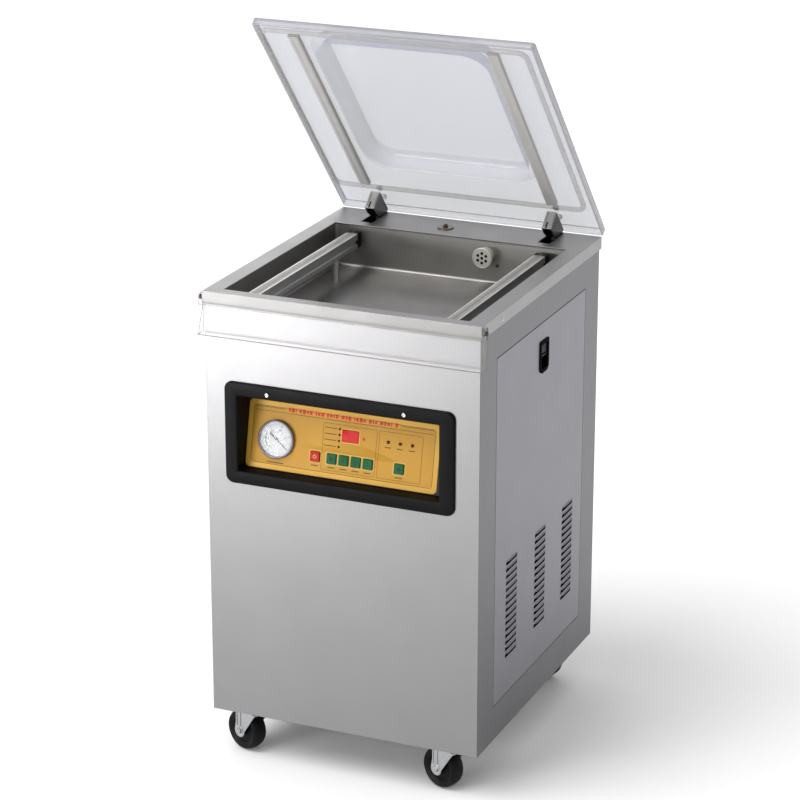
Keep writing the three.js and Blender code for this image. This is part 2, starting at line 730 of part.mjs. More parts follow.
add('cabinet_shell', makeShell(), steel);
add('base_pan', makeBasePan(), darkSteel);
add('rear_panel', makeRearPanel(), steel);
add('power_inlet', makeInlet(), blackPlastic);
for (const [side, sign] of SIDES) {
  add(`side_panel_${side}`, makeSidePanel(sign), steel);
  add(`latch_cup_${side}`, makeLatchCup(sign), blackPlastic);
  add(`latch_slide_${side}`, makeLatchSlide(sign), greyPlastic);
}

add('top_plate', makeTopPlate(), steel);
add('chamber_tub', makeTub(), steel);
add('suction_strainer', makeStrainer(), aluminium);
add('valve_block', makeValveBlock(), darkSteel);
add('vacuum_hose', makeHose(), blackRubber);
add('vacuum_pump', makePump(), castIron);
add('pump_motor', makeMotor(), castIron);
add('transformer', makeTransformer(), copper);
add('guard_apron', makeGuard(), clear);
add('switch_housing', makeSwitchHousing(), zinc);
add('switch_pin', makeSwitchPin(), darkSteel);

const lidGroup = new THREE.Group();
lidGroup.position.set(0, PIVOT.y, PIVOT.z);
lidGroup.rotation.x = -LID_OPEN;
machine.add(lidGroup);
const addToLid = (name, geometry, look) => add(name, geometry.translate(0, -PIVOT.y, -PIVOT.z), look, lidGroup);

addToLid('lid_plate', makeLidPlate(), clear);
addToLid('lid_gasket', makeGasket(), silicone);
for (const [side, sign] of SIDES) {
  addToLid(`pressure_bar_${side}`, makePressureBar(sign), silicone);
  addToLid(`hinge_arm_${side}`, makeHingeArm(sign), greyPlastic);
  add(`hinge_bracket_${side}`, makeHingeBracket(sign), blackPlastic);
  add(`hinge_pin_${side}`, makeHingePin(sign), zinc);
  add(`seal_bar_${side}`, makeSealBar(sign), aluminium);
  add(`lift_unit_${side}`, makeLiftUnit(sign), blackPlastic);
}

add('control_bezel', makeBezel(), blackPlastic);
add('control_panel', makePanel(), gold, panelGroup);
add('control_board', makeBoard(), boardGreen, panelGroup);
add('gauge_case', makeGaugeCase(), zinc, panelGroup);
add('gauge_glass', makeGaugeGlass(), clear, panelGroup);
add('gauge_needle', makeNeedle(), greyPlastic, panelGroup);
add('display_window', makeDisplay(), red, panelGroup);
for (const [name, x] of Object.entries(BUTTONS)) {
  add(name, makeButton(x), name === 'button_power' ? red : green, panelGroup);
}

const PLACES = [
  ['front_left', -1, CASTER.y[0]],
  ['front_right', 1, CASTER.y[0]],
  ['rear_left', -1, CASTER.y[1]],
  ['rear_right', 1, CASTER.y[1]],
];
for (const [place, sign, y] of PLACES) {
  const station = new THREE.Group();
  station.position.set(sign * CASTER.x, y, 0);
  const swivel = new THREE.Group();
  swivel.rotation.z = CASTER.turn;
  station.add(swivel);
  machine.add(station);
  add(`caster_plate_${place}`, makeCasterPlate(), zinc, station);
  add(`caster_fork_${place}`, makeCasterFork(), zinc, swivel);
  const wheel = add(`caster_wheel_${place}`, makeCasterWheel(), blackRubber, swivel);
  wheel.position.set(CASTER.trail, 0, CASTER.wheel);
}

machine.updateMatrixWorld(true);
const bounds = new THREE.Box3().setFromObject(machine, true);
const part = new THREE.Group();
machine.position.y = -(bounds.min.y + bounds.max.y) / 2;
part.add(machine);

export default part;
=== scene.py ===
"""The looks of a floor-standing vacuum packing machine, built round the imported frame.

Shapes are drawn in millimetres in one of four local frames (machine, panel, lid, caster)
and placed by that frame's matrix, which is worked out from the CAD boxes and joints.
"""

import json
import math

import bmesh
import bpy
from mathutils import Matrix, Vector


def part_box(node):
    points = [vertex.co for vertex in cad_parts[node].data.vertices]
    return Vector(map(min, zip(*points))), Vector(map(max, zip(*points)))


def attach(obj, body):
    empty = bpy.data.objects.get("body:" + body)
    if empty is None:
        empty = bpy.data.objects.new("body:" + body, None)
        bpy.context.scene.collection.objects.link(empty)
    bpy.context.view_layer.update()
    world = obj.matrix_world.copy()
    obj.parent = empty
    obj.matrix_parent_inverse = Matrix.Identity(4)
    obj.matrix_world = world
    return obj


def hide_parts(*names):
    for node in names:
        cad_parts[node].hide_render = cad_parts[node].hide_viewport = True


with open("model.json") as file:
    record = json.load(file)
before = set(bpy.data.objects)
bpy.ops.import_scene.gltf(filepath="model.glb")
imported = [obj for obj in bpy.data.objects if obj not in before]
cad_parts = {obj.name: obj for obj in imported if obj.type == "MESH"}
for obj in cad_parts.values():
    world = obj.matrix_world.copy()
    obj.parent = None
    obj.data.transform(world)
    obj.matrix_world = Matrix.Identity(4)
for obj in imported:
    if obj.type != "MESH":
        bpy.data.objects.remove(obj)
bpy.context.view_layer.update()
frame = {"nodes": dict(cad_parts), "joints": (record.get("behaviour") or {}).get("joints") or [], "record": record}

MM = 0.001
DEG = math.pi / 180
NODES = frame["nodes"]
JOINTS = {joint["name"]: joint for joint in frame["joints"]}
BODIES = frame["record"]["behaviour"]["bodies"]
BODY_OF = {node: body for body, nodes in BODIES.items() for node in nodes}

# ------------------------------------------------------------------ local frames

SHRINK = Matrix.Scale(MM, 4)
FRONT_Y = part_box("cabinet_shell")[0][1]
MACHINE = Matrix.Translation((0, FRONT_Y, 0)) @ SHRINK


def mm_box(node):
    """A CAD node's low and high corners in machine millimetres."""
    back = MACHINE.inverted()
    return [back @ Vector(corner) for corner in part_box(node)]


RIM_TOP = mm_box("top_plate")[1].z
HALF_WIDTH = mm_box("cabinet_shell")[1].x
DEPTH = mm_box("rear_panel")[1].y

PANEL_SHEET = 2.5
press = Vector(JOINTS["button_power_press"]["axis"])
PANEL_TILT = math.atan2(-press.z, press.y)
panel_low = mm_box("control_panel")[0]
PANEL = (
    MACHINE
    @ Matrix.Translation((0, panel_low.y, panel_low.z + PANEL_SHEET * math.sin(PANEL_TILT)))
    @ Matrix.Rotation(-PANEL_TILT, 4, "X")
)
FACING = Matrix.Rotation(90 * DEG, 4, "X")

LID_GAP = 8
LID_SHEET = 14
hinge = JOINTS["lid_hinge"]
LID_OPEN = hinge["range_deg"][1] * DEG
pivot = MACHINE.inverted() @ Vector(hinge["pos_m"])
UNDERSIDE = RIM_TOP + LID_GAP
LID = (
    MACHINE
    @ Matrix.Translation(pivot)
    @ Matrix.Rotation(-LID_OPEN, 4, "X")
    @ Matrix.Translation(-pivot)
)

SIDES = {"left": -1, "right": 1}
PLACES = ("front_left", "front_right", "rear_left", "rear_right")

# --------------------------------------------------------------------- materials


def linear(code):
    """A #rrggbb colour as linear light."""
    values = [int(code[i : i + 2], 16) / 255 for i in (1, 3, 5)]
    return [v / 12.92 if v < 0.04045 else ((v + 0.055) / 1.055) ** 2.4 for v in values]


def noise(tree, scale, stretch=(1, 1, 1), detail=3):
    """Noise in the piece's own coordinates, so that it moves with the piece."""
    where = tree.nodes.new("ShaderNodeTexCoord")
    mapping = tree.nodes.new("ShaderNodeMapping")
    mapping.inputs["Scale"].default_value = stretch
    texture = tree.nodes.new("ShaderNodeTexNoise")
    texture.inputs["Scale"].default_value = scale
    texture.inputs["Detail"].default_value = detail
    tree.links.new(where.outputs["Object"], mapping.inputs["Vector"])
    tree.links.new(mapping.outputs["Vector"], texture.inputs["Vector"])
    return texture.outputs["Fac"]


def spread(tree, source, low, high, socket):
    """Maps the middle of a noise onto low..high and links it to a socket."""
    ramp = tree.nodes.new("ShaderNodeMapRange")
    ramp.inputs["From Min"].default_value = 0.3
    ramp.inputs["From Max"].default_value = 0.7
    ramp.inputs["To Min"].default_value = low
    ramp.inputs["To Max"].default_value = high
    tree.links.new(source, ramp.inputs["Value"])
    tree.links.new(ramp.outputs["Result"], socket)


def look(name, code, rough, metal=0.0, vary=0.06, uneven=0.06, grain=None, fine=600, bump=0.1,
         depth=0.1, alpha=1.0, coat=0.0, glow=0.0, blotch=9, shine=0.5):
    """A finish: colour and roughness that drift in patches, and a fine bump.

    grain stretches the fine noise, as brushing does; depth is the bump's height in millimetres.
    """
    material = bpy.data.materials.new(name)
    material.use_nodes = True
    tree = material.node_tree
    shader = tree.nodes["Principled BSDF"]
    base = linear(code)
    patches = noise(tree, blotch)
    mix = tree.nodes.new("ShaderNodeMix")
    mix.data_type = "RGBA"
    mix.inputs["A"].default_value = (*[c * (1 - vary) for c in base], 1)
    mix.inputs["B"].default_value = (*[min(1, c * (1 + vary)) for c in base], 1)
    fine_noise = noise(tree, fine, grain or (1, 1, 1))
    blend = tree.nodes.new("ShaderNodeMath")
    blend.operation = "ADD"
    half = tree.nodes.new("ShaderNodeMath")
    half.operation = "MULTIPLY_ADD"
    half.inputs[1].default_value = 0.45 if grain else 0.25
    half.inputs[2].default_value = -0.22 if grain else -0.12
    tree.links.new(fine_noise, half.inputs[0])
    tree.links.new(patches, blend.inputs[0])
    tree.links.new(half.outputs[0], blend.inputs[1])
    spread(tree, blend.outputs[0], 0, 1, mix.inputs["Factor"])
    tree.links.new(mix.outputs["Result"], shader.inputs["Base Color"])
    spread(tree, noise(tree, blotch * 2.3), max(0.02, rough - uneven), rough + uneven,
           shader.inputs["Roughness"])
    shader.inputs["Metallic"].default_value = metal
    shader.inputs["Alpha"].default_value = alpha
    shader.inputs["Coat Weight"].default_value = coat
    shader.inputs["Specular IOR Level"].default_value = shine
    if glow:
        shader.inputs["Emission Color"].default_value = (*base, 1)
        shader.inputs["Emission Strength"].default_value = glow
    relief = tree.nodes.new("ShaderNodeBump")
    relief.inputs["Strength"].default_value = bump
    relief.inputs["Distance"].default_value = depth * MM
    tree.links.new(fine_noise, relief.inputs["Height"])
    tree.links.new(relief.outputs["Normal"], shader.inputs["Normal"])
    return material


LOOKS = {
    "steel": look("steel", "#8b8a8b", 0.34, 1, 0.02, 0.012, (0.02, 0.02, 1), 520, 0.16),
    # the same steel, darker: painted shade on the machine's sides
    "side_shaded_steel": look("side_shaded_steel", "#6e6d70", 0.34, 1, 0.02, 0.012, (0.02, 0.02, 1), 520, 0.16),
    # the side doors' steel, darker and cooler than the front: painted shade on the sides
    "door_shaded_steel": look("door_shaded_steel", "#7f7f86", 0.34, 1, 0.025, 0.012, (0.02, 0.02, 1), 520, 0.16),
    "top_steel": look("top_steel", "#a3a2a2", 0.45, 1, 0.03, 0.03, (0.02, 1, 1), 420, 0.2),
    # the top plate's steel, darker: painted shade on its front band
    "band_shaded_steel": look("band_shaded_steel", "#807f7e", 0.42, 1, 0.03, 0.02, (0.02, 1, 1), 420, 0.2),
    "tub_steel": look("tub_steel", "#9b9996", 0.4, 1, 0.05, 0.05, (0.03, 1, 1), 400, 0.15),
    "mill_steel": look("mill_steel", "#8f8f8e", 0.45, 1, 0.08),
    "chrome": look("chrome", "#d4d4d6", 0.14, 1, 0.03, 0.04, bump=0.03),
    "switch_ring": look("switch_ring", "#857d73", 0.34, 1, 0.04, 0.04, bump=0.03),
    "switch_pin": look("switch_pin", "#4d3a2c", 0.4, 0.3, 0.08, 0.05),
    "strainer": look("strainer", "#c9c6bd", 0.36, 0.35, 0.05, 0.06, fine=400, bump=0.1),
    "hinge_web": look("hinge_web", "#9b9c98", 0.42, 0.2, 0.08, 0.08, fine=700, bump=0.2),
    "zinc": look("zinc", "#a9abad", 0.34, 1, 0.12, 0.1, fine=260, bump=0.15),
    "aluminium": look("aluminium", "#c8c9ca", 0.36, 1, 0.05, 0.06, (1, 0.02, 1), 480, 0.12),
    "black_steel": look("black_steel", "#17171a", 0.42, 0, 0.15, 0.08, fine=900, bump=0.12, coat=0.15),
    "black_plastic": look("black_plastic", "#070709", 0.42, 0, 0.12, 0.06, fine=1500, bump=0.18,
                          shine=0.09),
    "latch_black": look("latch_black", "#050507", 0.8, 0, 0.1, 0.05, fine=1500, bump=0.1, shine=0.04),
    "latch_grey": look("latch_grey", "#25262c", 0.5, 0, 0.1, 0.05, fine=1500, bump=0.1, shine=0.15),
    "panel_black": look("panel_black", "#0a0a0c", 0.5, 0, 0.12, shine=0.3),
    "grey_plastic": look("grey_plastic", "#77777b", 0.42, 0, 0.08, fine=1300, bump=0.15),
    "dark_grey": look("dark_grey", "#3a3a3d", 0.42, 0, 0.1, fine=1300, bump=0.15),
    "rubber": look("rubber", "#060606", 0.55, 0, 0.2, 0.1, fine=700, bump=0.3, blotch=40, shine=0.15),
    "silicone": look("silicone", "#aaa8a6", 0.5, 0, 0.04, 0.06, fine=900, bump=0.12, blotch=20),
    "gasket": look("gasket", "#9c9792", 0.45, 0, 0.02, 0.03, fine=900, bump=0.02, blotch=20, alpha=0.3),
    "acrylic": look("acrylic", "#9ca1b2", 0.06, 0, 0.02, 0.02, fine=60, bump=0.02, alpha=0.3),
    # copies of the clear look: paler and more opaque as painted sheen on the walls, darker as painted shade on the
    # edges
    "acrylic_wall_sheen": look("acrylic_wall_sheen", "#a6a9b6", 0.08, 0, 0.03, 0.02, fine=60, bump=0.02, alpha=0.42),
    "acrylic_edge_shade": look("acrylic_edge_shade", "#8b8b92", 0.16, 0, 0.06, 0.05, fine=200, bump=0.05, alpha=0.8),
    "guard": look("guard", "#d8d7da", 0.07, 0, 0.02, 0.02, fine=60, bump=0.02, alpha=0.06),
    # darker copy of the clear look: painted shade for the apron's edges
    "guard_painted_edge_shade": look("guard_painted_edge_shade", "#6f675f", 0.3, 0, 0.06, 0.05, fine=200, bump=0.05, alpha=0.9),
    "lens": look("lens", "#f2f4f5", 0.03, 0, 0.01, 0.01, fine=40, bump=0.01, alpha=0.1),
    "gold": look("gold", "#a57a22", 0.46, 0.1, 0.05, 0.05, fine=1800, bump=0.1, blotch=6, shine=0.25),
    "gold_pale": look("gold_pale", "#b98f34", 0.46, 0.1, 0.04, 0.05, fine=1800, bump=0.08, shine=0.25),
    "print_red": look("print_red", "#b83514", 0.5, 0, 0.08, 0.05, shine=0.2),
    "print_dark": look("print_dark", "#57461a", 0.5, 0, 0.1, 0.05, shine=0.2),
    "print_peach": look("print_peach", "#c0873a", 0.5, 0, 0.05, 0.05, shine=0.2),
    "print_pale": look("print_pale", "#c3a257", 0.5, 0, 0.04, 0.05, shine=0.2),
    "red_button": look("red_button", "#a0130c", 0.45, 0, 0.1, 0.06, blotch=60, shine=0.15),
    "green_button": look("green_button", "#07512b", 0.45, 0, 0.12, 0.06, blotch=60, shine=0.12),
    "display_red": look("display_red", "#b00f12", 0.35, 0, 0.05, 0.03, glow=0.12, blotch=60, shine=0.1),
    "lamp": look("lamp", "#45100c", 0.2, 0, 0.15, 0.04, blotch=200, shine=0.4),
    "gauge_ring": look("gauge_ring", "#8b8a93", 0.3, 1, 0.03, 0.04, bump=0.03),
    "dial": look("dial", "#c2c2c4", 0.5, 0, 0.015, 0.04, shine=0.2),
    "dial_blue": look("dial_blue", "#24506e", 0.5, 0, 0.05, shine=0.2),
    "dial_green": look("dial_green", "#2d8446", 0.5, 0, 0.05, shine=0.2),
    "tape": look("tape", "#8b877f", 0.42, 0, 0.12, 0.08, fine=1400, bump=0.35, blotch=30),
    "casting": look("casting", "#4c5a63", 0.55, 0.3, 0.12, 0.1, fine=240, bump=0.4, depth=0.3),
    "copper": look("copper", "#8a4f2c", 0.4, 0.6, 0.15, 0.1, (1, 1, 0.04), 700, 0.4),
    "board": look("board", "#1d5a34", 0.4, 0, 0.12, 0.06, blotch=40),
}

# ------------------------------------------------------------------ mesh helpers


def dress(thing, body, slot, *looks):
    """Gives a piece its materials and the body it rides on; slot is not used."""
    for key in looks:
        thing.data.materials.append(LOOKS[key])
    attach(thing, body)
    return thing


def put(name, verts, faces, place, smooth=35):
    """A new object from local millimetre points, normals out."""
    shape = bmesh.new()
    points = [shape.verts.new(place @ Vector(v)) for v in verts]
    for face in faces:
        shape.faces.new([points[i] for i in face])
    bmesh.ops.recalc_face_normals(shape, faces=shape.faces)
    return wrap(name, shape, smooth)


def wrap(name, shape, smooth=35):
    """A bmesh as an object in the scene, smooth but for edges sharper than an angle."""
    mesh = bpy.data.meshes.new(name)
    shape.to_mesh(mesh)
    shape.free()
    mesh.shade_smooth()
    mesh.set_sharp_from_angle(angle=smooth * DEG)
    thing = bpy.data.objects.new(name, mesh)
    bpy.context.collection.objects.link(thing)
    return thing


def soften(thing, width, segments=2, angle=35):
    """Rounds a piece's sharp edges by a width in millimetres."""
    rounding = thing.modifiers.new("edges", "BEVEL")
    rounding.width = width * MM
    rounding.segments = segments
    rounding.limit_method = "ANGLE"
    rounding.angle_limit = angle * DEG
    rounding.harden_normals = True
    return thing


def loft(loops, closed=False):
    """Skins a row of loops of equal length; closed joins the last loop to the first."""
    count = len(loops[0])
    verts = [point for loop in loops for point in loop]
    rows = len(loops)
    faces = []
    for row in range(rows if closed else rows - 1):
        a = row * count
        b = ((row + 1) % rows) * count
        for i in range(count):
            j = (i + 1) % count
            faces.append((a + i, a + j, b + j, b + i))
    if not closed:
        faces.append(tuple(range(count)))
        faces.append(tuple(reversed(range((rows - 1) * count, rows * count))))
    return verts, faces


def round_rect(x, y, radius, steps=10):
    """The outline of a rounded rectangle as 2-D points."""
    points = []
    corners = (
        (x[1] - radius, y[1] - radius, 0),
        (x[0] + radius, y[1] - radius, 90),
        (x[0] + radius, y[0] + radius, 180),
        (x[1] - radius, y[0] + radius, 270),
    )
    for cx, cy, start in corners:
        for step in range(steps + 1):
            turn = (start + 90 * step / steps) * DEG
            points.append((cx + radius * math.cos(turn), cy + radius * math.sin(turn)))
    return points


def circle(x, y, radius, steps=48):
    return [
        (x + radius * math.cos(2 * math.pi * i / steps), y + radius * math.sin(2 * math.pi * i / steps))
        for i in range(steps)
    ]


def grown(pair, by):
    return (pair[0] - by, pair[1] + by)


def around(middle, half):
    return (middle - half, middle + half)


def lathe(profile, segments=48):
    """Turns [radius, height] points about Z; a radius of 0 at either end closes it."""
    verts = []
    rings = []
    for radius, height in profile:
        if radius == 0:
            rings.append([len(verts)])
            verts.append((0, 0, height))
            continue
        rings.append(list(range(len(verts), len(verts) + segments)))
        for i in range(segments):
            turn = 2 * math.pi * i / segments
            verts.append((radius * math.cos(turn), radius * math.sin(turn), height))
    faces = []
    for low, high in zip(rings, rings[1:]):
        for i in range(segments):
            j = (i + 1) % segments
            if len(low) == 1:
                faces.append((low[0], high[i], high[j]))
            elif len(high) == 1:
                faces.append((low[i], low[j], high[0]))
            else:
                faces.append((low[i], low[j], high[j], high[i]))
    if len(rings[0]) > 1:
        for i in range(segments):
            j = (i + 1) % segments
            faces.append((rings[-1][i], rings[-1][j], rings[0][j], rings[0][i]))
    return verts, faces


def bars(name, boxes, place, width=0.0, smooth=35):
    """Many boxes as one mesh; each box is three [low, high] pairs in local millimetres."""
    verts = []
    faces = []
    for x, y, z in boxes:
        start = len(verts)
        verts += [(a, b, c) for a in x for b in y for c in z]
        for quad in ((0, 1, 3, 2), (4, 6, 7, 5), (0, 4, 5, 1), (2, 3, 7, 6), (0, 2, 6, 4), (1, 5, 7, 3)):
            faces.append(tuple(start + i for i in quad))
    thing = put(name, verts, faces, place, smooth)
    return soften(thing, width) if width else thing


def outline_mesh(name, outlines, thickness, place, smooth=35):
    """A flat plate cut to 2-D outlines, holes included, standing up from z = 0."""
    curve = bpy.data.curves.new(name, "CURVE")
    curve.dimensions = "2D"
    curve.fill_mode = "BOTH"
    curve.extrude = thickness / 2
    for points in outlines:
        spline = curve.splines.new("POLY")
        spline.points.add(len(points) - 1)
        for point, (x, y) in zip(spline.points, points):
            point.co = (x, y, 0, 1)
        spline.use_cyclic_u = True
    return curve_to_mesh(name, curve, place @ Matrix.Translation((0, 0, thickness / 2)), smooth)


def curve_to_mesh(name, curve, place, smooth=35):
    """Turns a curve or a text into a welded mesh in the row frame."""
    temporary = bpy.data.objects.new(name + "_draft", curve)
    bpy.context.collection.objects.link(temporary)
    bpy.context.view_layer.update()
    ready = temporary.evaluated_get(bpy.context.evaluated_depsgraph_get())
    mesh = bpy.data.meshes.new_from_object(ready)
    shape = bmesh.new()
    shape.from_mesh(mesh)
    bmesh.ops.remove_doubles(shape, verts=shape.verts, dist=1e-4)
    bmesh.ops.transform(shape, matrix=place, verts=shape.verts)
    bmesh.ops.recalc_face_normals(shape, faces=shape.faces)
    bpy.data.objects.remove(temporary)
    bpy.data.meshes.remove(mesh)
    bpy.data.curves.remove(curve)
    return wrap(name, shape, smooth)


def reworked(node, slot, key, width=0.6, segments=2, angle=35):
    """The CAD node's own shape with its flat faces whole again and its edges rounded."""
    shape = bmesh.new()
    shape.from_mesh(NODES[node].data)
    bmesh.ops.remove_doubles(shape, verts=shape.verts, dist=0.01 * MM)
    bmesh.ops.dissolve_limit(shape, angle_limit=DEG, verts=shape.verts, edges=shape.edges)
    thing = wrap(node + "_finished", shape)
    if width:
        soften(thing, width, segments, angle)
    body = BODY_OF[node]
    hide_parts(node)
    return dress(thing, body, slot, key)


def second_look(thing, key, chosen):
    """Gives the faces that chosen() picks another look."""
    thing.data.materials.append(LOOKS[key])
    for face in thing.data.polygons:
        if chosen(face):
            face.material_index = 1


def screw(name, place, radius, body, key="chrome", height=None, slot="nickel"):
    """A socket screw: a rounded head with a six-sided hole, standing up from z = 0."""
    height = height or radius * 0.7
    socket = radius * 0.5
    profile = [
        (0, -0.2), (radius, -0.2), (radius, height * 0.5), (radius * 0.93, height * 0.85),
        (radius * 0.78, height), (socket * 1.1, height), (socket, height * 0.93),
        (socket * 0.98, height * 0.35), (0, height * 0.3),
    ]
    verts, faces = lathe(profile, 24)
    shaped = []
    for x, y, z in verts:
        reach = math.hypot(x, y)
        if 0 < reach <= socket * 1.01:
            turn = (math.atan2(y, x) / (60 * DEG)) % 1 - 0.5
            factor = math.cos(30 * DEG) / math.cos(turn * 60 * DEG)
            x, y = x * factor, y * factor
        shaped.append((x, y, z))
    return dress(put(name, shaped, faces, place), body, slot, key)


# ------------------------------------------------------------------------ cabinet

shell = reworked("cabinet_shell", "brushed_stainless", "steel", 0.9, 3)
# the shell's side faces take the darker steel as painted shade
second_look(shell, "side_shaded_steel", lambda face: abs(face.normal.x) > 0.9)
reworked("base_pan", "plain_stainless", "mill_steel", 0.5)
reworked("rear_panel", "brushed_stainless", "steel", 0.4)
reworked("power_inlet", "black_plastic", "black_plastic", 0.6)

# a rubber lip behind the top plate's rear skirt closes the slit over the rear panel
rear_low, rear_high = mm_box("rear_panel")
lip = [((rear_low.x + 3, rear_high.x - 3), (rear_high.y + 0.05, rear_high.y + 0.8),
        (rear_high.z - 1.5, rear_high.z + 9))]
dress(bars("rear_lip", lip, MACHINE), "cabinet", "black_rubber", "rubber")
for side in SIDES:
    # the doors take the darker steel as painted shade
    reworked(f"side_panel_{side}", "brushed_stainless", "door_shaded_steel", 0.45)
    reworked(f"latch_cup_{side}", "black_plastic", "latch_black", 0.35)
    reworked(f"latch_slide_{side}", "grey_plastic", "latch_grey", 0.7, 3)

LOUVRE = {"length": 51, "height": 6, "pitch": 12, "rows": 15, "low": 218, "y": (150, 285, 418)}
HOOD_PROUD = 1.7


def louvre_hoods(side, sign):
    """The pressed lips over the door's slots: each leans out from the slot's top edge."""
    verts = []
    faces = []
    steps = 10
    for middle in LOUVRE["y"]:
        for row in range(LOUVRE["rows"]):
            top = LOUVRE["low"] + row * LOUVRE["pitch"] + LOUVRE["height"] / 2
            section = []
            for step in range(steps + 1):
                share = step / steps
                ease = min(1, 4.5 * min(share, 1 - share)) ** 0.6
                y = middle + LOUVRE["length"] * (share - 0.5) * 1.02
                out = HALF_WIDTH + HOOD_PROUD * ease + 0.05
                skin = HALF_WIDTH - 0.35
                drop = 2.0 * ease
                section.append([
                    (sign * skin, y, top + 2.4),
                    (sign * (HALF_WIDTH + HOOD_PROUD * 0.45 * ease + 0.05), y, top + 2.4 - drop * 0.28),
                    (sign * out, y, top + 2.2 - drop),
                    (sign * (out - 0.7), y, top + 1.7 - drop),
                    (sign * skin, y, top + 0.3),
                ])
            start = len(verts)
            more, quads = loft(section)
            verts += more
            faces += [tuple(start + i for i in quad) for quad in quads]
    thing = put(f"louvre_hoods_{side}", verts, faces, MACHINE, 40)
    # the hoods take the doors' darker steel, painted shade
    return dress(thing, "cabinet", "brushed_stainless", "door_shaded_steel")


for side, sign in SIDES.items():
    louvre_hoods(side, sign)

TO_REAR = Matrix.Rotation(-90 * DEG, 4, "X")
REAR_SCREW_X = (-232, 0, 232)
REAR_SCREW_Z = (100, 345, 590, 805)
for column, x in enumerate(REAR_SCREW_X):
    for row, z in enumerate(REAR_SCREW_Z):
        screw(f"rear_screw_{column}_{row}", MACHINE @ Matrix.Translation((x, DEPTH, z)) @ TO_REAR,
              4, "cabinet")

# ------------------------------------------------------------- top plate, chamber

plate = reworked("top_plate", "brushed_stainless", "top_steel", 0.65, 3)
# the front-facing band takes the darker steel as painted shade
second_look(plate, "band_shaded_steel", lambda face: face.normal.y < -0.9)
reworked("valve_block", "cast_aluminium", "aluminium", 1.2)
reworked("vacuum_hose", "black_rubber", "rubber", 0, angle=60)
reworked("vacuum_pump", "pump_casting", "casting", 2.5, 3)
reworked("pump_motor", "pump_casting", "casting", 1.5)
reworked("transformer", "lacquered_copper", "copper", 1.2)
for side in SIDES:
    reworked(f"lift_unit_{side}", "black_plastic", "black_plastic", 1)

tub_low, tub_high = mm_box("chamber_tub")
FLANGE = 8
TUB_WALL = 1.5
TUB_X = (tub_low.x + FLANGE, tub_high.x - FLANGE)
TUB_Y = (tub_low.y + FLANGE + 0.5, tub_high.y - FLANGE - 0.5)


def chamber_tub():
    """The drawn tub: flange, walls and a floor with a small radius all round."""
    outer = [(FLANGE, tub_high.z - TUB_WALL), (FLANGE, tub_high.z)]
    fillet = 6
    floor_z = tub_low.z + TUB_WALL
    inner = [(-TUB_WALL + 0.6, tub_high.z), (-TUB_WALL + 0.1, tub_high.z - 0.3),
             (-TUB_WALL, tub_high.z - 1)]
    for turn in (0, 22.5, 45, 67.5, 90):
        reach = fillet * (1 - math.cos(turn * DEG))
        drop = fillet * (1 - math.sin(turn * DEG))
        inner.append((-TUB_WALL - reach, floor_z + drop))
    rings = [(0, tub_low.z), (0, tub_high.z - TUB_WALL), *outer, *inner]
    loops = []
    for grow, z in rings:
        outline = round_rect(grown(TUB_X, grow), grown(TUB_Y, grow), max(2.5, 8 + grow), 6)
        loops.append([(x, y, z) for x, y in outline])
    thing = put("chamber_tub_drawn", *loft(loops), MACHINE, 40)
    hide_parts("chamber_tub")
    return dress(thing, "cabinet", "plain_stainless", "tub_steel")


chamber_tub()

# lid switch: a chamfered ring with its pin
SWITCH = (mm_box("switch_pin")[0] + mm_box("switch_pin")[1]) / 2
switch_low = mm_box("switch_housing")[0].z - RIM_TOP
AT_SWITCH = MACHINE @ Matrix.Translation((SWITCH.x, SWITCH.y, RIM_TOP))
ring = [(4.4, switch_low), (8, switch_low), (8, 0.2), (14.6, 0.3), (15, 0.7), (14.9, 1.4), (13.9, 2.1),
        (11, 2.3), (6.4, 2.3), (5.6, 2.0), (4.6, 1.2), (4.4, 0.4)]
thing = put("lid_switch_ring", *lathe(ring), AT_SWITCH)
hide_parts("switch_housing")
dress(thing, "cabinet", "nickel", "switch_ring")
pin_low = mm_box("switch_pin")[0].z - RIM_TOP
pin_top = mm_box("switch_pin")[1].z - RIM_TOP
pin = [(0, pin_low), (3.8, pin_low), (3.8, pin_top - 2.6), (3.5, pin_top - 1.4), (2.7, pin_top - 0.5),
       (1.4, pin_top - 0.1), (0, pin_top)]
thing = put("lid_switch_pin", *lathe(pin, 32), AT_SWITCH)
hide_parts("switch_pin")
dress(thing, BODY_OF["switch_pin"], "nickel", "switch_pin")

# suction strainer: a cup with a face plate, pierced by seven holes over a black disc of painted shadow
STRAINER = {"face": 16.35, "hole": 2.8, "ring": 8.6}
low, high = mm_box("suction_strainer")
strainer = Vector(((low.x + high.x) / 2, low.y, (low.z + high.z) / 2))
reach = high.y - low.y
cup = [(0, -reach), (10, -reach), (10, 11 - reach), (14.5, 11 - reach), (14.5, -3.5), (17.8, -3.5),
       (18.5, -2.8), (18.5, -1.2), (17.7, -0.3), (16.9, 0), (16.5, -0.3), (16.4, -2.6), (0, -2.6)]
AT_STRAINER = MACHINE @ Matrix.Translation(strainer) @ FACING
thing = put("strainer_body", *lathe(cup, 56), AT_STRAINER)
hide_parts("suction_strainer")
dress(thing, "cabinet", "nickel", "strainer")
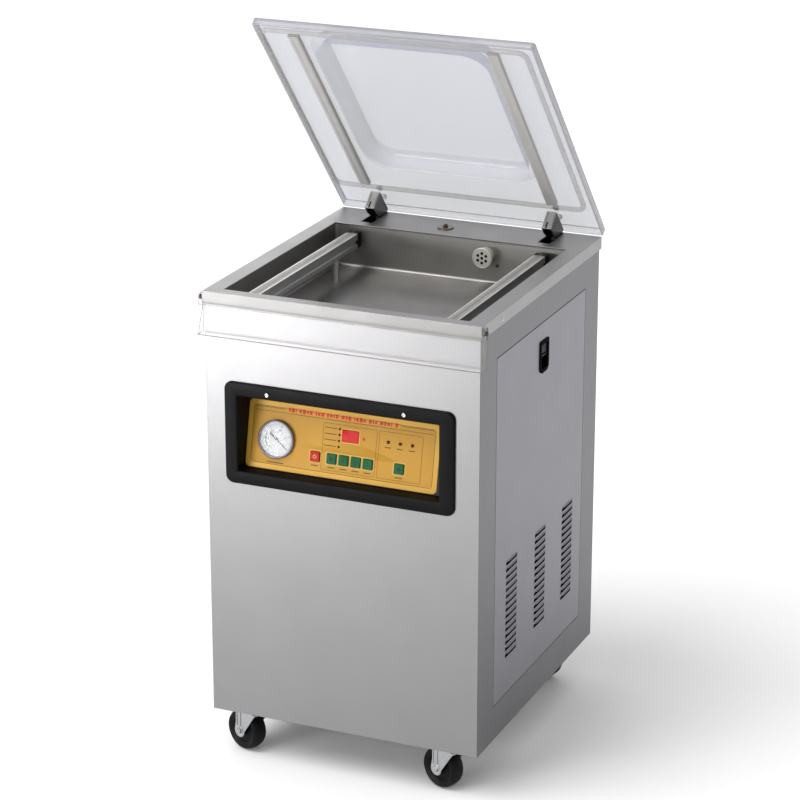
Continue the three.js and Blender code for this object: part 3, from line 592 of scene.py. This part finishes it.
# a black disc behind the face plate is painted shadow for the dark inside of the cup
shadow = [(0, -2.5), (16.3, -2.5), (16.3, -1.9), (0, -1.9)]
dress(put("strainer_painted_shadow", *lathe(shadow, 32), AT_STRAINER), "cabinet", "black_plastic", "panel_black")
holes = [circle(0, 0, STRAINER["hole"], 20)]
for spot in range(6):
    turn = (spot * 60 + 30) * DEG
    holes.append(circle(STRAINER["ring"] * math.cos(turn), STRAINER["ring"] * math.sin(turn),
                        STRAINER["hole"], 20))
face = outline_mesh("strainer_face", [circle(0, 0, STRAINER["face"], 56), *holes], 1,
                    AT_STRAINER @ Matrix.Translation((0, 0, -1.3)))
dress(face, "cabinet", "nickel", "strainer")
screw("strainer_screw", AT_STRAINER @ Matrix.Translation((21, -17, -reach + 12)), 3, "cabinet",
      "dark_grey")

# ----------------------------------------------------------------------- seal bars

BAR = {"width": 22, "tape": 15, "wire": 3.2, "cap": 14, "cap_past": 1.5, "cap_drop": 26.4}
for side in SIDES:
    node = f"seal_bar_{side}"
    body = BODY_OF[node]
    reworked(node, "cast_aluminium", "aluminium", 0.7)
    low, high = mm_box(node)
    middle = (low.x + high.x) / 2
    span = (low.y + BAR["cap"], high.y - BAR["cap"])
    tape_box = (around(middle, BAR["tape"] / 2), span, (high.z - 0.3, high.z + 0.35))
    dress(bars(f"seal_tape_{side}", [tape_box], MACHINE, 0.2), body, "silicone", "tape")
    wire_box = (around(middle, BAR["wire"] / 2), span, (high.z + 0.1, high.z + 0.75))
    dress(bars(f"seal_wire_{side}", [wire_box], MACHINE, 0.25), body, "nickel", "mill_steel")
    ends = {
        "front": (low.y - BAR["cap_past"], low.y + BAR["cap"]),
        "rear": (high.y - BAR["cap"], high.y + BAR["cap_past"]),
    }
    for end, y in ends.items():
        cap_box = (around(middle, BAR["width"] / 2 + 0.6), y, (high.z - BAR["cap_drop"], high.z + 0.3))
        cap = bars(f"seal_bar_cap_{side}_{end}", [cap_box], MACHINE, 1.2)
        dress(cap, body, "black_plastic", "black_plastic")
        screw(f"seal_bar_screw_{side}_{end}",
              MACHINE @ Matrix.Translation((middle, sum(y) / 2, high.z - 0.8)), 3, body, height=1.2)

# ----------------------------------------------------------------------------- lid

LID_X = (-250, 250)
LID_Y = (6, pivot.y + 3.5)
LID_CORNER = 6
POCKET_X = (-151.5, 151.5)
POCKET_Y = (46, 407)
POCKET_CORNER = 42


def pocket_loop(offset, height):
    outline = round_rect(grown(POCKET_X, offset), grown(POCKET_Y, offset), POCKET_CORNER + offset, 14)
    return [(x, y, UNDERSIDE + height) for x, y in outline]


def lid_loop(inset, height):
    corner = max(1.5, LID_CORNER - inset)
    outline = round_rect(grown(LID_X, -inset), grown(LID_Y, -inset), corner, 14)
    return [(x, y, UNDERSIDE + height) for x, y in outline]


def lid_plate():
    """One closed skin: recess ceiling, recess wall, underside, edge, top, dome."""
    recess = [(-17, 30), (-12, 29.5), (-8, 28), (-5, 25.6), (-3, 22), (-1.6, 16), (-0.4, 8), (0.6, 3.4),
              (2.2, 1.2), (4.6, 0.2), (8, 0)]
    edge = [(3.2, 0), (1.2, 0.35), (0.3, 1.1), (0, 2.4), (0, 11.6), (0.3, 12.9), (1.2, 13.65), (3.2, 14)]
    dome = [(18, 14), (13.5, 14.5), (11, 16), (9.6, 19), (8.6, 26), (7.4, 32), (5, 36), (1.5, 38.6),
            (-3.5, 39.8), (-9, 40)]
    loops = [pocket_loop(*p) for p in recess]
    loops += [lid_loop(*p) for p in edge]
    loops += [pocket_loop(*p) for p in dome]
    verts, faces = loft(loops)
    thing = put("lid_plate_clear", verts, faces, LID, 60)
    count = len(loops[0])
    first_edge = len(recess)
    first_dome = first_edge + len(edge)
    # walls and rear-facing edges take the painted sheen; the other edges take the painted shade of a clear sheet
    # seen edge-on
    rearwards = LID.to_3x3().normalized() @ Vector((0, 1, 0))
    for index, face in enumerate(thing.data.polygons):
        row = index // count
        rear = face.normal.dot(rearwards) > 0.5
        if first_edge <= row < first_dome - 1:
            face.material_index = 1 if rear else 2
        elif 1 <= row < first_edge - 2 or first_dome <= row < len(loops) - 2:
            face.material_index = 1
    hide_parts("lid_plate")
    return dress(thing, "lid", "clear_acrylic", "acrylic", "acrylic_wall_sheen", "acrylic_edge_shade")


lid_plate()

GASKET_X = (-236, 236)
GASKET_Y = (14, 467)
GASKET_CORNER = 16
section = round_rect((-4, 4), (0.3, LID_GAP - 0.3), 2.6, 4)
loops = []
for offset, height in section:
    outline = round_rect(grown(GASKET_X, offset), grown(GASKET_Y, offset), GASKET_CORNER + offset, 8)
    loops.append([(x, y, RIM_TOP + height) for x, y in outline])
thing = put("lid_gasket_rounded", *loft(loops, closed=True), LID)
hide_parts("lid_gasket")
dress(thing, "lid", "silicone", "gasket")

PRESS_X = 177
PRESS_Y = (24, 457)
for side, sign in SIDES.items():
    profile = [(-10, -0.3), (-10, -6), (-9.2, -7.3), (-7.6, -7.9), (-3.2, -8), (-2.4, -7.3), (2.4, -7.3),
               (3.2, -8), (7.6, -7.9), (9.2, -7.3), (10, -6), (10, -0.3)]
    loops = [[(sign * PRESS_X + x, y, UNDERSIDE + z) for x, z in profile] for y in PRESS_Y]
    thing = put(f"pressure_bar_{side}_ribbed", *loft(loops), LID, 30)
    soften(thing, 0.4)
    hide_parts(f"pressure_bar_{side}")
    dress(thing, "lid", "silicone", "silicone")

# ----------------------------------------------------------------------- lid hinge

ARM_HALF = 9
WEB_Y = pivot.y - 60
FORWARDS = LID.to_3x3().normalized() @ Vector((0, -1, 0))
for side in SIDES:
    reworked(f"hinge_bracket_{side}", "black_steel", "black_steel", 0.8)
    reworked(f"hinge_pin_{side}", "nickel", "chrome", 0.5)
    arm = reworked(f"hinge_arm_{side}", "grey_plastic", "black_steel", 0.9, 3)
    low, high = mm_box(f"hinge_bracket_{side}")
    x = (low.x + high.x) / 2
    second_look(arm, "hinge_web", lambda face: face.normal.dot(FORWARDS) > 0.95)
    ribs = [(around(x + side_x, 1.3), (WEB_Y - 1.4, WEB_Y + 0.6), (pivot.z - 12, UNDERSIDE - 3))
            for side_x in (-6.6, 6.6)]
    ribs = bars(f"hinge_ribs_{side}", ribs, LID, 0.5)
    dress(ribs, "lid", "grey_plastic", "hinge_web")
    # a black bar on the web is painted shade for a slot in it
    web_slot_shade = bars(f"hinge_slot_shade_{side}", [(around(x - 1.5, 1.6), (WEB_Y - 0.35, WEB_Y + 0.4),
                                          (pivot.z - 16.2, pivot.z - 3))], LID, 0.2)
    dress(web_slot_shade, "lid", "black_steel", "panel_black")
    knuckle = [(0, -ARM_HALF), (6.2, -ARM_HALF), (7.4, -ARM_HALF + 1), (7.4, -2.2), (6.6, -1.4),
               (6.6, 1.4), (7.4, 2.2), (7.4, ARM_HALF - 1), (6.2, ARM_HALF), (0, ARM_HALF)]
    at_pin = LID @ Matrix.Translation((x, pivot.y, pivot.z)) @ Matrix.Rotation(90 * DEG, 4, "Y")
    thing = put(f"hinge_knuckle_{side}", *lathe(knuckle, 40), at_pin)
    dress(thing, "lid", "black_steel", "black_steel")
    for step, y in enumerate((pivot.y - 48, pivot.y - 20)):
        on_lid = LID @ Matrix.Translation((x, y, UNDERSIDE + LID_SHEET))
        screw(f"lid_screw_{side}_{step}", on_lid, 6, "lid")

# --------------------------------------------------------------------- front guard

GUARD_SHEET = 4.5


def guard():
    """The clear apron, with its cut edges given a darker look as painted shade, the dark line clear plastic shows
    edge-on.
    """
    thing = reworked("guard_apron", "clear_guard", "guard", 1.1)
    thing.modifiers["edges"].material = 1

    def is_rim(face):
        points = [thing.data.vertices[i].co for i in face.vertices]
        sizes = sorted(max(p[k] for p in points) - min(p[k] for p in points) for k in range(3))
        return sizes[1] < GUARD_SHEET * MM

    second_look(thing, "guard_painted_edge_shade", is_rim)


guard()
guard_low, guard_high = mm_box("guard_apron")
GUARD_X = guard_high.x
# dark lines along the apron's edges are painted shade
EDGE_LINE = 1.1
low_line = (guard_low.z, guard_low.z + EDGE_LINE)
lines = [((-GUARD_X, GUARD_X), (guard_low.y - 0.1, guard_low.y + 0.3), low_line)]
for side, sign in SIDES.items():
    skin = around(sign * (GUARD_X - 0.1), 0.2)
    lines.append((skin, (guard_low.y, guard_high.y), low_line))
    lines.append((skin, (guard_high.y - EDGE_LINE, guard_high.y), (guard_low.z, guard_high.z)))
dress(bars("guard_rim_shade_lines", lines, MACHINE), "cabinet", "clear_guard", "guard_painted_edge_shade")
for side, sign in SIDES.items():
    outwards = Matrix.Rotation(sign * 90 * DEG, 4, "Y")
    on_guard = MACHINE @ Matrix.Translation((sign * (GUARD_X - 0.2), 3, 828)) @ outwards
    screw(f"guard_screw_{side}", on_guard, 4.2, "cabinet", "black_steel", slot="black_steel")
    on_rim = MACHINE @ Matrix.Translation((sign * (HALF_WIDTH + 3), 86, 827)) @ outwards
    screw(f"rim_screw_{side}", on_rim, 2.6, "cabinet", height=1.2)

# --------------------------------------------------------------------- control box

bezel_low, bezel_high = mm_box("control_bezel")
BEZEL_X = (bezel_low.x, bezel_high.x)
BEZEL_Z = (bezel_low.z, bezel_high.z)
WELL_X = (-186.5, 175.5)
WELL_Z = (533, 665.5)
WELL_BACK = bezel_high.y


def bezel():
    """The moulded frame and its well, skinned ring by ring from the outside in."""
    rings = [
        (BEZEL_X, BEZEL_Z, 0, 14, -0.3),
        (BEZEL_X, BEZEL_Z, 0, 14, -2.4),
        (BEZEL_X, BEZEL_Z, -0.5, 14, -3.8),
        (BEZEL_X, BEZEL_Z, -1.5, 13, -4.7),
        (BEZEL_X, BEZEL_Z, -3, 12, -5),
        (WELL_X, WELL_Z, 3.4, 5, -5),
        (WELL_X, WELL_Z, 1.6, 3.5, -4.7),
        (WELL_X, WELL_Z, 0.5, 2.5, -3.8),
        (WELL_X, WELL_Z, 0, 2, -2.4),
        (WELL_X, WELL_Z, 0, 2, WELL_BACK),
        (WELL_X, WELL_Z, 2, 3, WELL_BACK),
        (WELL_X, WELL_Z, 2, 3, -0.3),
    ]
    loops = []
    for x, z, grow, corner, y in rings:
        loops.append([(a, y, b) for a, b in round_rect(grown(x, grow), grown(z, grow), corner, 10)])
    thing = put("control_bezel_moulded", *loft(loops, closed=True), MACHINE, 40)
    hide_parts("control_bezel")
    return dress(thing, "cabinet", "black_plastic", "black_plastic")


bezel()
BEZEL_SCREWS = {"left": -130.4, "right": 114.9}
BEZEL_SCREW_Z = 675.4
for side, x in BEZEL_SCREWS.items():
    screw(f"bezel_screw_{side}", MACHINE @ Matrix.Translation((x, bezel_low.y, BEZEL_SCREW_Z)) @ FACING,
          3.6, "cabinet")

reworked("control_panel", "gold_overlay", "panel_black", 0)
reworked("control_board", "circuit_board", "board", 0.2)

GAUGE = {"x": -131, "z": 53, "ring": 33, "body": 28.5, "front": 7, "dial": 1.5}
DISPLAY = {"x": 1.5, "z": 75.5, "half_x": 15, "half_z": 10}
BUTTON_Z = 34
BUTTON_HALF = 8.5
BUTTONS = {
    "button_power": -59, "button_set": -29, "button_up": -7.2,
    "button_down": 14.6, "button_select": 36.4, "button_stop": 92.5,
}
LARGE_LAMPS = (69.5, 91, 112.5)
LARGE_LAMP_Z = 75.5
SMALL_LAMPS = (55.5, 65.5, 75.5, 85.5)
SMALL_LAMP_X = -18.5
OVERLAY_X = (-185.5, 161)
OVERLAY_Z = (1, 116)
OVERLAY = 0.3
ON_PANEL = PANEL @ FACING


def overlay():
    """The printed gold sheet, with holes for what stands through it."""
    holes = [circle(GAUGE["x"], GAUGE["z"], GAUGE["body"] + 1)]
    holes.append(round_rect(around(DISPLAY["x"], DISPLAY["half_x"] + 0.3),
                            around(DISPLAY["z"], DISPLAY["half_z"] + 0.3), 0.5, 3))
    for x in BUTTONS.values():
        holes.append(round_rect(around(x, BUTTON_HALF + 0.3), around(BUTTON_Z, BUTTON_HALF + 0.3), 1, 3))
    holes += [circle(x, LARGE_LAMP_Z, 2.9, 20) for x in LARGE_LAMPS]
    holes += [circle(SMALL_LAMP_X, z, 2, 16) for z in SMALL_LAMPS]
    sheet = outline_mesh("panel_overlay", [round_rect(OVERLAY_X, OVERLAY_Z, 8), *holes], OVERLAY,
                         ON_PANEL @ Matrix.Translation((0, 0, 0.02)))
    return dress(sheet, "cabinet", "gold_overlay", "gold")


overlay()
PRINT = OVERLAY + 0.02


def printed(name, key, outlines, level=0.0):
    """Thin print that lies on the overlay."""
    thing = outline_mesh(name, outlines, 0.06, ON_PANEL @ Matrix.Translation((0, 0, PRINT + level)))
    return dress(thing, "cabinet", "gold_overlay", key)


def rect(x, z):
    return [(x[0], z[0]), (x[1], z[0]), (x[1], z[1]), (x[0], z[1])]


def frame_lines(x, z, width, corner=1.5):
    """A box drawn as a line: its outer and its inner outline."""
    return [round_rect(x, z, corner, 5), round_rect(grown(x, -width), grown(z, -width), corner * 0.6, 5)]


BORDER = 8.5
inner_x = grown(OVERLAY_X, -BORDER)
inner_z = grown(OVERLAY_Z, -BORDER)
printed("print_border", "gold_pale", [round_rect(grown(OVERLAY_X, -0.8), grown(OVERLAY_Z, -0.8), 7.5),
                                      round_rect(inner_x, inner_z, 5)])
printed("print_border_line", "print_dark", frame_lines(inner_x, inner_z, 0.8, 5), 0.07)
lines = [rect((inner_x[0] + 3, -122), (104.8, 105.6)), rect((94, inner_x[1] - 3), (104.8, 105.6))]
lines.append(rect((inner_x[0] + 3, inner_x[1] - 3), (98.4, 99.2)))
printed("print_title_lines", "print_dark", lines, 0.07)
BOX_Z = (14, 93)
printed("print_box_left", "print_dark", frame_lines((-48, 49), BOX_Z, 0.6), 0.07)
printed("print_box_right", "print_dark", frame_lines((53, 131), BOX_Z, 0.6), 0.07)

printed("print_title_band", "print_peach", [round_rect((-117, 88), (100.6, 110), 1, 3)], 0.03)

# an abstract run of marks stands where a title would
TITLE_X = (-113, 84)
TITLE_Z = 105.2
MARK_WIDTHS = (3.6, 5.2, 2.4, 4.4, 6.0)
MARK_HEIGHTS = (6.2, 7.2, 5.4)
MARK_GAPS = (1.6, 1.6, 4.8, 1.6, 1.6, 1.6, 5.6)
marks = []
x = TITLE_X[0]
while x < TITLE_X[1]:
    step = len(marks)
    wide = MARK_WIDTHS[step % 5]
    marks.append(round_rect((x, x + wide), around(TITLE_Z, MARK_HEIGHTS[step % 3] / 2), 0.9, 3))
    x += wide + MARK_GAPS[step % 7]
printed("print_title_marks", "print_red", marks, 0.07)

labels = []
for z in SMALL_LAMPS:
    labels.append(rect((-45.5, -23.5), around(z, 0.75)))
for x in BUTTONS.values():
    labels.append(rect(around(x, 6.5), around(BUTTON_Z - 15, 0.9)))
for x in LARGE_LAMPS:
    labels.append(rect(around(x, 5.5), around(LARGE_LAMP_Z - 9, 0.8)))
labels.append(rect(around(GAUGE["x"], 15), around(13.5, 0.9)))
printed("print_labels", "print_dark", labels, 0.07)
printed("print_display_mark", "print_red", [circle(26, DISPLAY["z"] - 1, 2.6, 20)], 0.07)

outlines = []
for x in BUTTONS.values():
    outlines += frame_lines(around(x, BUTTON_HALF + 2.6), around(BUTTON_Z, BUTTON_HALF + 2.6), 1.5, 2.4)
outlines += frame_lines(around(DISPLAY["x"], DISPLAY["half_x"] + 2.2),
                        around(DISPLAY["z"], DISPLAY["half_z"] + 2.2), 1.2, 2)
printed("print_frames", "print_pale", outlines, 0.07)

# ------------------------------------------------------- gauge, display, lamps

GAUGE_STEM = 12
GAUGE_DEEP = 32
AT_GAUGE = ON_PANEL @ Matrix.Translation((GAUGE["x"], GAUGE["z"], 0))
back = -(GAUGE_DEEP + GAUGE_STEM)
case = [
    (0, back), (7, back), (7, -GAUGE_DEEP), (GAUGE["body"], -GAUGE_DEEP), (GAUGE["body"], 0.3),
    (GAUGE["ring"], 0.4),
    (GAUGE["ring"], 4), (GAUGE["ring"] - 0.4, 5.8), (GAUGE["ring"] - 1.5, 6.8), (GAUGE["ring"] - 2.6, 7),
    (GAUGE["ring"] - 3.3, 6.4), (GAUGE["ring"] - 3.5, 5.6), (GAUGE["ring"] - 3.6, GAUGE["dial"] + 0.1),
    (0, GAUGE["dial"]),
]
thing = put("gauge_case_turned", *lathe(case, 64), AT_GAUGE)
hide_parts("gauge_case")
dress(thing, "cabinet", "nickel", "gauge_ring")
DIAL_RADIUS = GAUGE["ring"] - 3.8
dial = [(0, GAUGE["dial"] - 0.1), (DIAL_RADIUS, GAUGE["dial"] - 0.1), (DIAL_RADIUS, GAUGE["dial"] + 0.18),
        (0, GAUGE["dial"] + 0.18)]
dress(put("gauge_dial", *lathe(dial, 64), AT_GAUGE), "cabinet", "nickel", "dial")
glass = [(0, 4.7), (28.6, 4.7), (29.1, 5.0), (28.8, 5.5), (22, 6.2), (12, 6.6), (0, 6.75)]
thing = put("gauge_lens", *lathe(glass, 64), AT_GAUGE)
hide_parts("gauge_glass")
dress(thing, "cabinet", "gauge_lens", "lens")
reworked("gauge_needle", "grey_plastic", "dark_grey", 0.12)

NEEDLE_REST = -38
SWEEP = 270
TICKS = 50
TICK_RADIUS = 26.6
NUMBER_RADIUS = 16.5


def wedge(inner, outer, start, end, steps=1):
    """A flat piece of a ring between two angles in degrees."""
    turns = [(start + (end - start) * i / steps) * DEG for i in range(steps + 1)]
    out = [(outer * math.cos(t), outer * math.sin(t)) for t in turns]
    return out + [(inner * math.cos(t), inner * math.sin(t)) for t in reversed(turns)]


ticks = []
for tick in range(TICKS + 1):
    turn = NEEDLE_REST + SWEEP * tick / TICKS
    length, half = (5.2, 1.5) if tick % 10 == 0 else (3.4, 0.9) if tick % 5 == 0 else (2.2, 0.6)
    ticks.append(wedge(TICK_RADIUS - length, TICK_RADIUS, turn - half, turn + half))
ON_DIAL = AT_GAUGE @ Matrix.Translation((0, 0, GAUGE["dial"] + 0.2))
dress(outline_mesh("gauge_ticks", ticks, 0.05, ON_DIAL), "cabinet", "nickel", "dial_blue")
green = [wedge(19.2, 21, 150, 222, 20)]
dress(outline_mesh("gauge_green_band", green, 0.05, ON_DIAL), "cabinet", "nickel", "dial_green")


def number(text, x, y, size, place, name, key):
    """A figure on the dial, centred on a point."""
    curve = bpy.data.curves.new(name, "FONT")
    curve.body = text
    curve.size = size
    curve.align_x = "CENTER"
    curve.align_y = "CENTER"
    curve.extrude = 0.03
    thing = curve_to_mesh(name, curve, place @ Matrix.Translation((x, y, 0.03)))
    return dress(thing, "cabinet", "nickel", key)


for tick in range(6):
    turn = (NEEDLE_REST + SWEEP * tick / 5) * DEG
    number(str(tick * 20), NUMBER_RADIUS * math.cos(turn), NUMBER_RADIUS * math.sin(turn), 5.2, ON_DIAL,
           f"gauge_number_{tick}", "dial_blue")

reworked("display_window", "red_plastic", "display_red", 0.5)

lamp_shapes = [(f"lamp_large_{i}", x, LARGE_LAMP_Z, 2.8) for i, x in enumerate(LARGE_LAMPS)]
lamp_shapes += [(f"lamp_small_{i}", SMALL_LAMP_X, z, 1.8) for i, z in enumerate(SMALL_LAMPS)]
for name, x, z, radius in lamp_shapes:
    dome = [(0, 0.3), (radius, 0.3), (radius, 0.9)]
    for lift in (20, 40, 60, 78):
        dome.append((radius * math.cos(lift * DEG), 0.9 + radius * 0.75 * math.sin(lift * DEG)))
    dome.append((0, 0.9 + radius * 0.75))
    thing = put(name, *lathe(dome, 24), ON_PANEL @ Matrix.Translation((x, z, 0)))
    dress(thing, "cabinet", "red_plastic", "lamp")

# ------------------------------------------------------------------------- buttons

GLYPHS = {
    "button_power": [wedge(2.2, 3.2, -235, 55, 16), rect((-0.5, 0.5), (0.8, 4))],
    "button_set": [round_rect((-2.8, 2.8), (-2.8, 2.8), 0.6, 3)],
    "button_up": [[(-3.2, -2), (3.2, -2), (0, 3.2)]],
    "button_down": [[(-3.2, 2), (0, -3.2), (3.2, 2)]],
    "button_select": [rect((-3, 3), (1, 2.2)), rect((-3, 3), (-2.2, -1))],
    "button_stop": [circle(0, 0, 3, 24)],
}
BUTTON_PROUD = 3
for node, x in BUTTONS.items():
    if node == "button_power":
        slot, key, mark_key = "red_plastic", "red_button", "print_pale"
    else:
        slot, key, mark_key = "green_plastic", "green_button", "panel_black"
    reworked(node, slot, key, 1, 3)
    glyph = outline_mesh(node + "_mark", GLYPHS[node], 0.06,
                         ON_PANEL @ Matrix.Translation((x, BUTTON_Z, BUTTON_PROUD)))
    dress(glyph, BODY_OF[node], slot, mark_key)

# ------------------------------------------------------------------------- casters

LEG_OUTSIDE = 18.5
CROWN_TOP = 77.5
PLATE_SCREWS = ((-24, -22), (24, -22), (24, 22), (-24, 22))
PLATE_SCREW_Z = 83.7


def fork_details(place, at_wheel, rim):
    """Two pressed ribs down each leg of the fork, and a washer under its bolt."""
    ribs = []
    for side in (-1, 1):
        for lean in (-4.5, 4.5):
            out = (side * LEG_OUTSIDE, side * (LEG_OUTSIDE + 1.2))
            ribs.append((around(lean - 2, 1.3), (9, CROWN_TOP - rim - 4), (min(out), max(out))))
    thing = bars(f"fork_ribs_{place}", ribs, at_wheel, 0.5)
    dress(thing, "swivel_" + place, "zinc", "zinc")
    washer = [(6.5, 0), (8.2, 0), (8.2, 0.8), (7.8, 1.1), (6.5, 1.1)]
    for side in (-1, 1):
        outwards = Matrix.Rotation((1 - side) * 90 * DEG, 4, "X")
        at_leg = at_wheel @ Matrix.Translation((0, 0, side * LEG_OUTSIDE)) @ outwards
        thing = put(f"axle_washer_{place}_{(side + 1) // 2}", *lathe(washer, 32), at_leg)
        dress(thing, "swivel_" + place, "zinc", "chrome")


def caster(place):
    """One caster; its wheel's place and turn come from the rolling joint."""
    roll = JOINTS["wheel_roll_" + place]
    axle = Vector(roll["axis"])
    centre = MACHINE.inverted() @ Vector(roll["pos_m"])
    turn = math.atan2(axle.x, -axle.y)
    at_wheel = MACHINE @ Matrix.Translation(centre) @ Matrix.Rotation(turn, 4, "Z") @ FACING
    rim = centre.z
    tread = [(rim - 13, 11), (rim - 8, 13.5), (rim - 5.5, 14.6), (rim - 3.2, 13.2), (rim - 1.6, 10.6),
             (rim - 0.5, 6), (rim, 0)]
    tyre = [(radius, -reach) for radius, reach in tread] + tread[-2::-1]
    thing = put(f"tyre_{place}", *lathe(tyre, 64), at_wheel)
    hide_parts("caster_wheel_" + place)
    dress(thing, "wheel_" + place, "black_rubber", "rubber")
    face = [(4.6, 14.5), (7.5, 14.5), (8.2, 13.8), (8.4, 11), (rim - 15, 9.6), (rim - 12.4, 11.2)]
    hub = [(radius, -reach) for radius, reach in face] + face[::-1]
    thing = put(f"hub_{place}", *lathe(hub, 48), at_wheel)
    dress(thing, "wheel_" + place, "black_rubber", "black_plastic")
    fork_details(place, at_wheel, rim)
    reworked("caster_fork_" + place, "zinc", "zinc", 0.8, 3)
    reworked("caster_plate_" + place, "zinc", "zinc", 0.5)
    plate_low, plate_high = mm_box("caster_plate_" + place)
    middle = (plate_low + plate_high) / 2
    downwards = Matrix.Rotation(180 * DEG, 4, "X")
    for index, (dx, dy) in enumerate(PLATE_SCREWS):
        screw(f"caster_screw_{place}_{index}",
              MACHINE @ Matrix.Translation((middle.x + dx, middle.y + dy, PLATE_SCREW_Z)) @ downwards,
              4.2, "cabinet", "zinc", 2.6, slot="zinc")


for place in PLACES:
    caster(place)

# ----------------------------------------------------------- floor, light, camera

FLOOR_HALF = 14
floor_mesh = bpy.data.meshes.new("floor")
floor_mesh.from_pydata(
    [(-FLOOR_HALF, -FLOOR_HALF, 0), (FLOOR_HALF, -FLOOR_HALF, 0), (FLOOR_HALF, FLOOR_HALF, 0),
     (-FLOOR_HALF, FLOOR_HALF, 0)], [], [(0, 1, 2, 3)])
floor = bpy.data.objects.new("floor", floor_mesh)
bpy.context.collection.objects.link(floor)
floor_mesh.materials.append(look("floor_white", "#f4f4f4", 0.85, 0, 0.005, 0.02, fine=40, bump=0.02))

world = bpy.data.worlds.new("studio")
bpy.context.scene.world = world
world.use_nodes = True
world.node_tree.nodes["Background"].inputs["Color"].default_value = (1, 1, 1, 1)
world.node_tree.nodes["Background"].inputs["Strength"].default_value = 0.72


def softbox(name, where, size, power, target=(0, 0, 0.6), tint=(1, 1, 1)):
    light = bpy.data.lights.new(name, "AREA")
    light.shape = "RECTANGLE"
    light.size, light.size_y = size
    light.energy = power
    light.color = tint
    thing = bpy.data.objects.new(name, light)
    thing.location = where
    thing.rotation_euler = (Vector(target) - Vector(where)).to_track_quat("-Z", "Y").to_euler()
    bpy.context.collection.objects.link(thing)


sun_data = bpy.data.lights.new("key", "SUN")
sun_data.energy = 1.8
sun_data.angle = 40 * DEG
sun = bpy.data.objects.new("key", sun_data)
sun.rotation_euler = Vector((0.45, 0.5, -1.0)).to_track_quat("-Z", "Y").to_euler()
bpy.context.collection.objects.link(sun)
softbox("front_low", (-1.6, -2.7, 0.56), (1.1, 1.0), 48, (-0.2, -0.3, 0.7))
softbox("back", (-1.3, 3.0, 2.1), (2.6, 1.4), 14, (0, 0, 0.85))

CAMERA_YAW = 23.381
CAMERA_PITCH = 19.322
camera_data = bpy.data.cameras.new("camera")
camera_data.sensor_width = 36
camera_data.lens = 128.96
camera = bpy.data.objects.new("camera", camera_data)
camera.location = (1.8366, -4.284, 2.2272)
camera.rotation_euler = ((90 - CAMERA_PITCH) * DEG, 0, CAMERA_YAW * DEG)
bpy.context.collection.objects.link(camera)
bpy.context.scene.camera = camera
bpy.context.scene.view_settings.view_transform = "Standard"
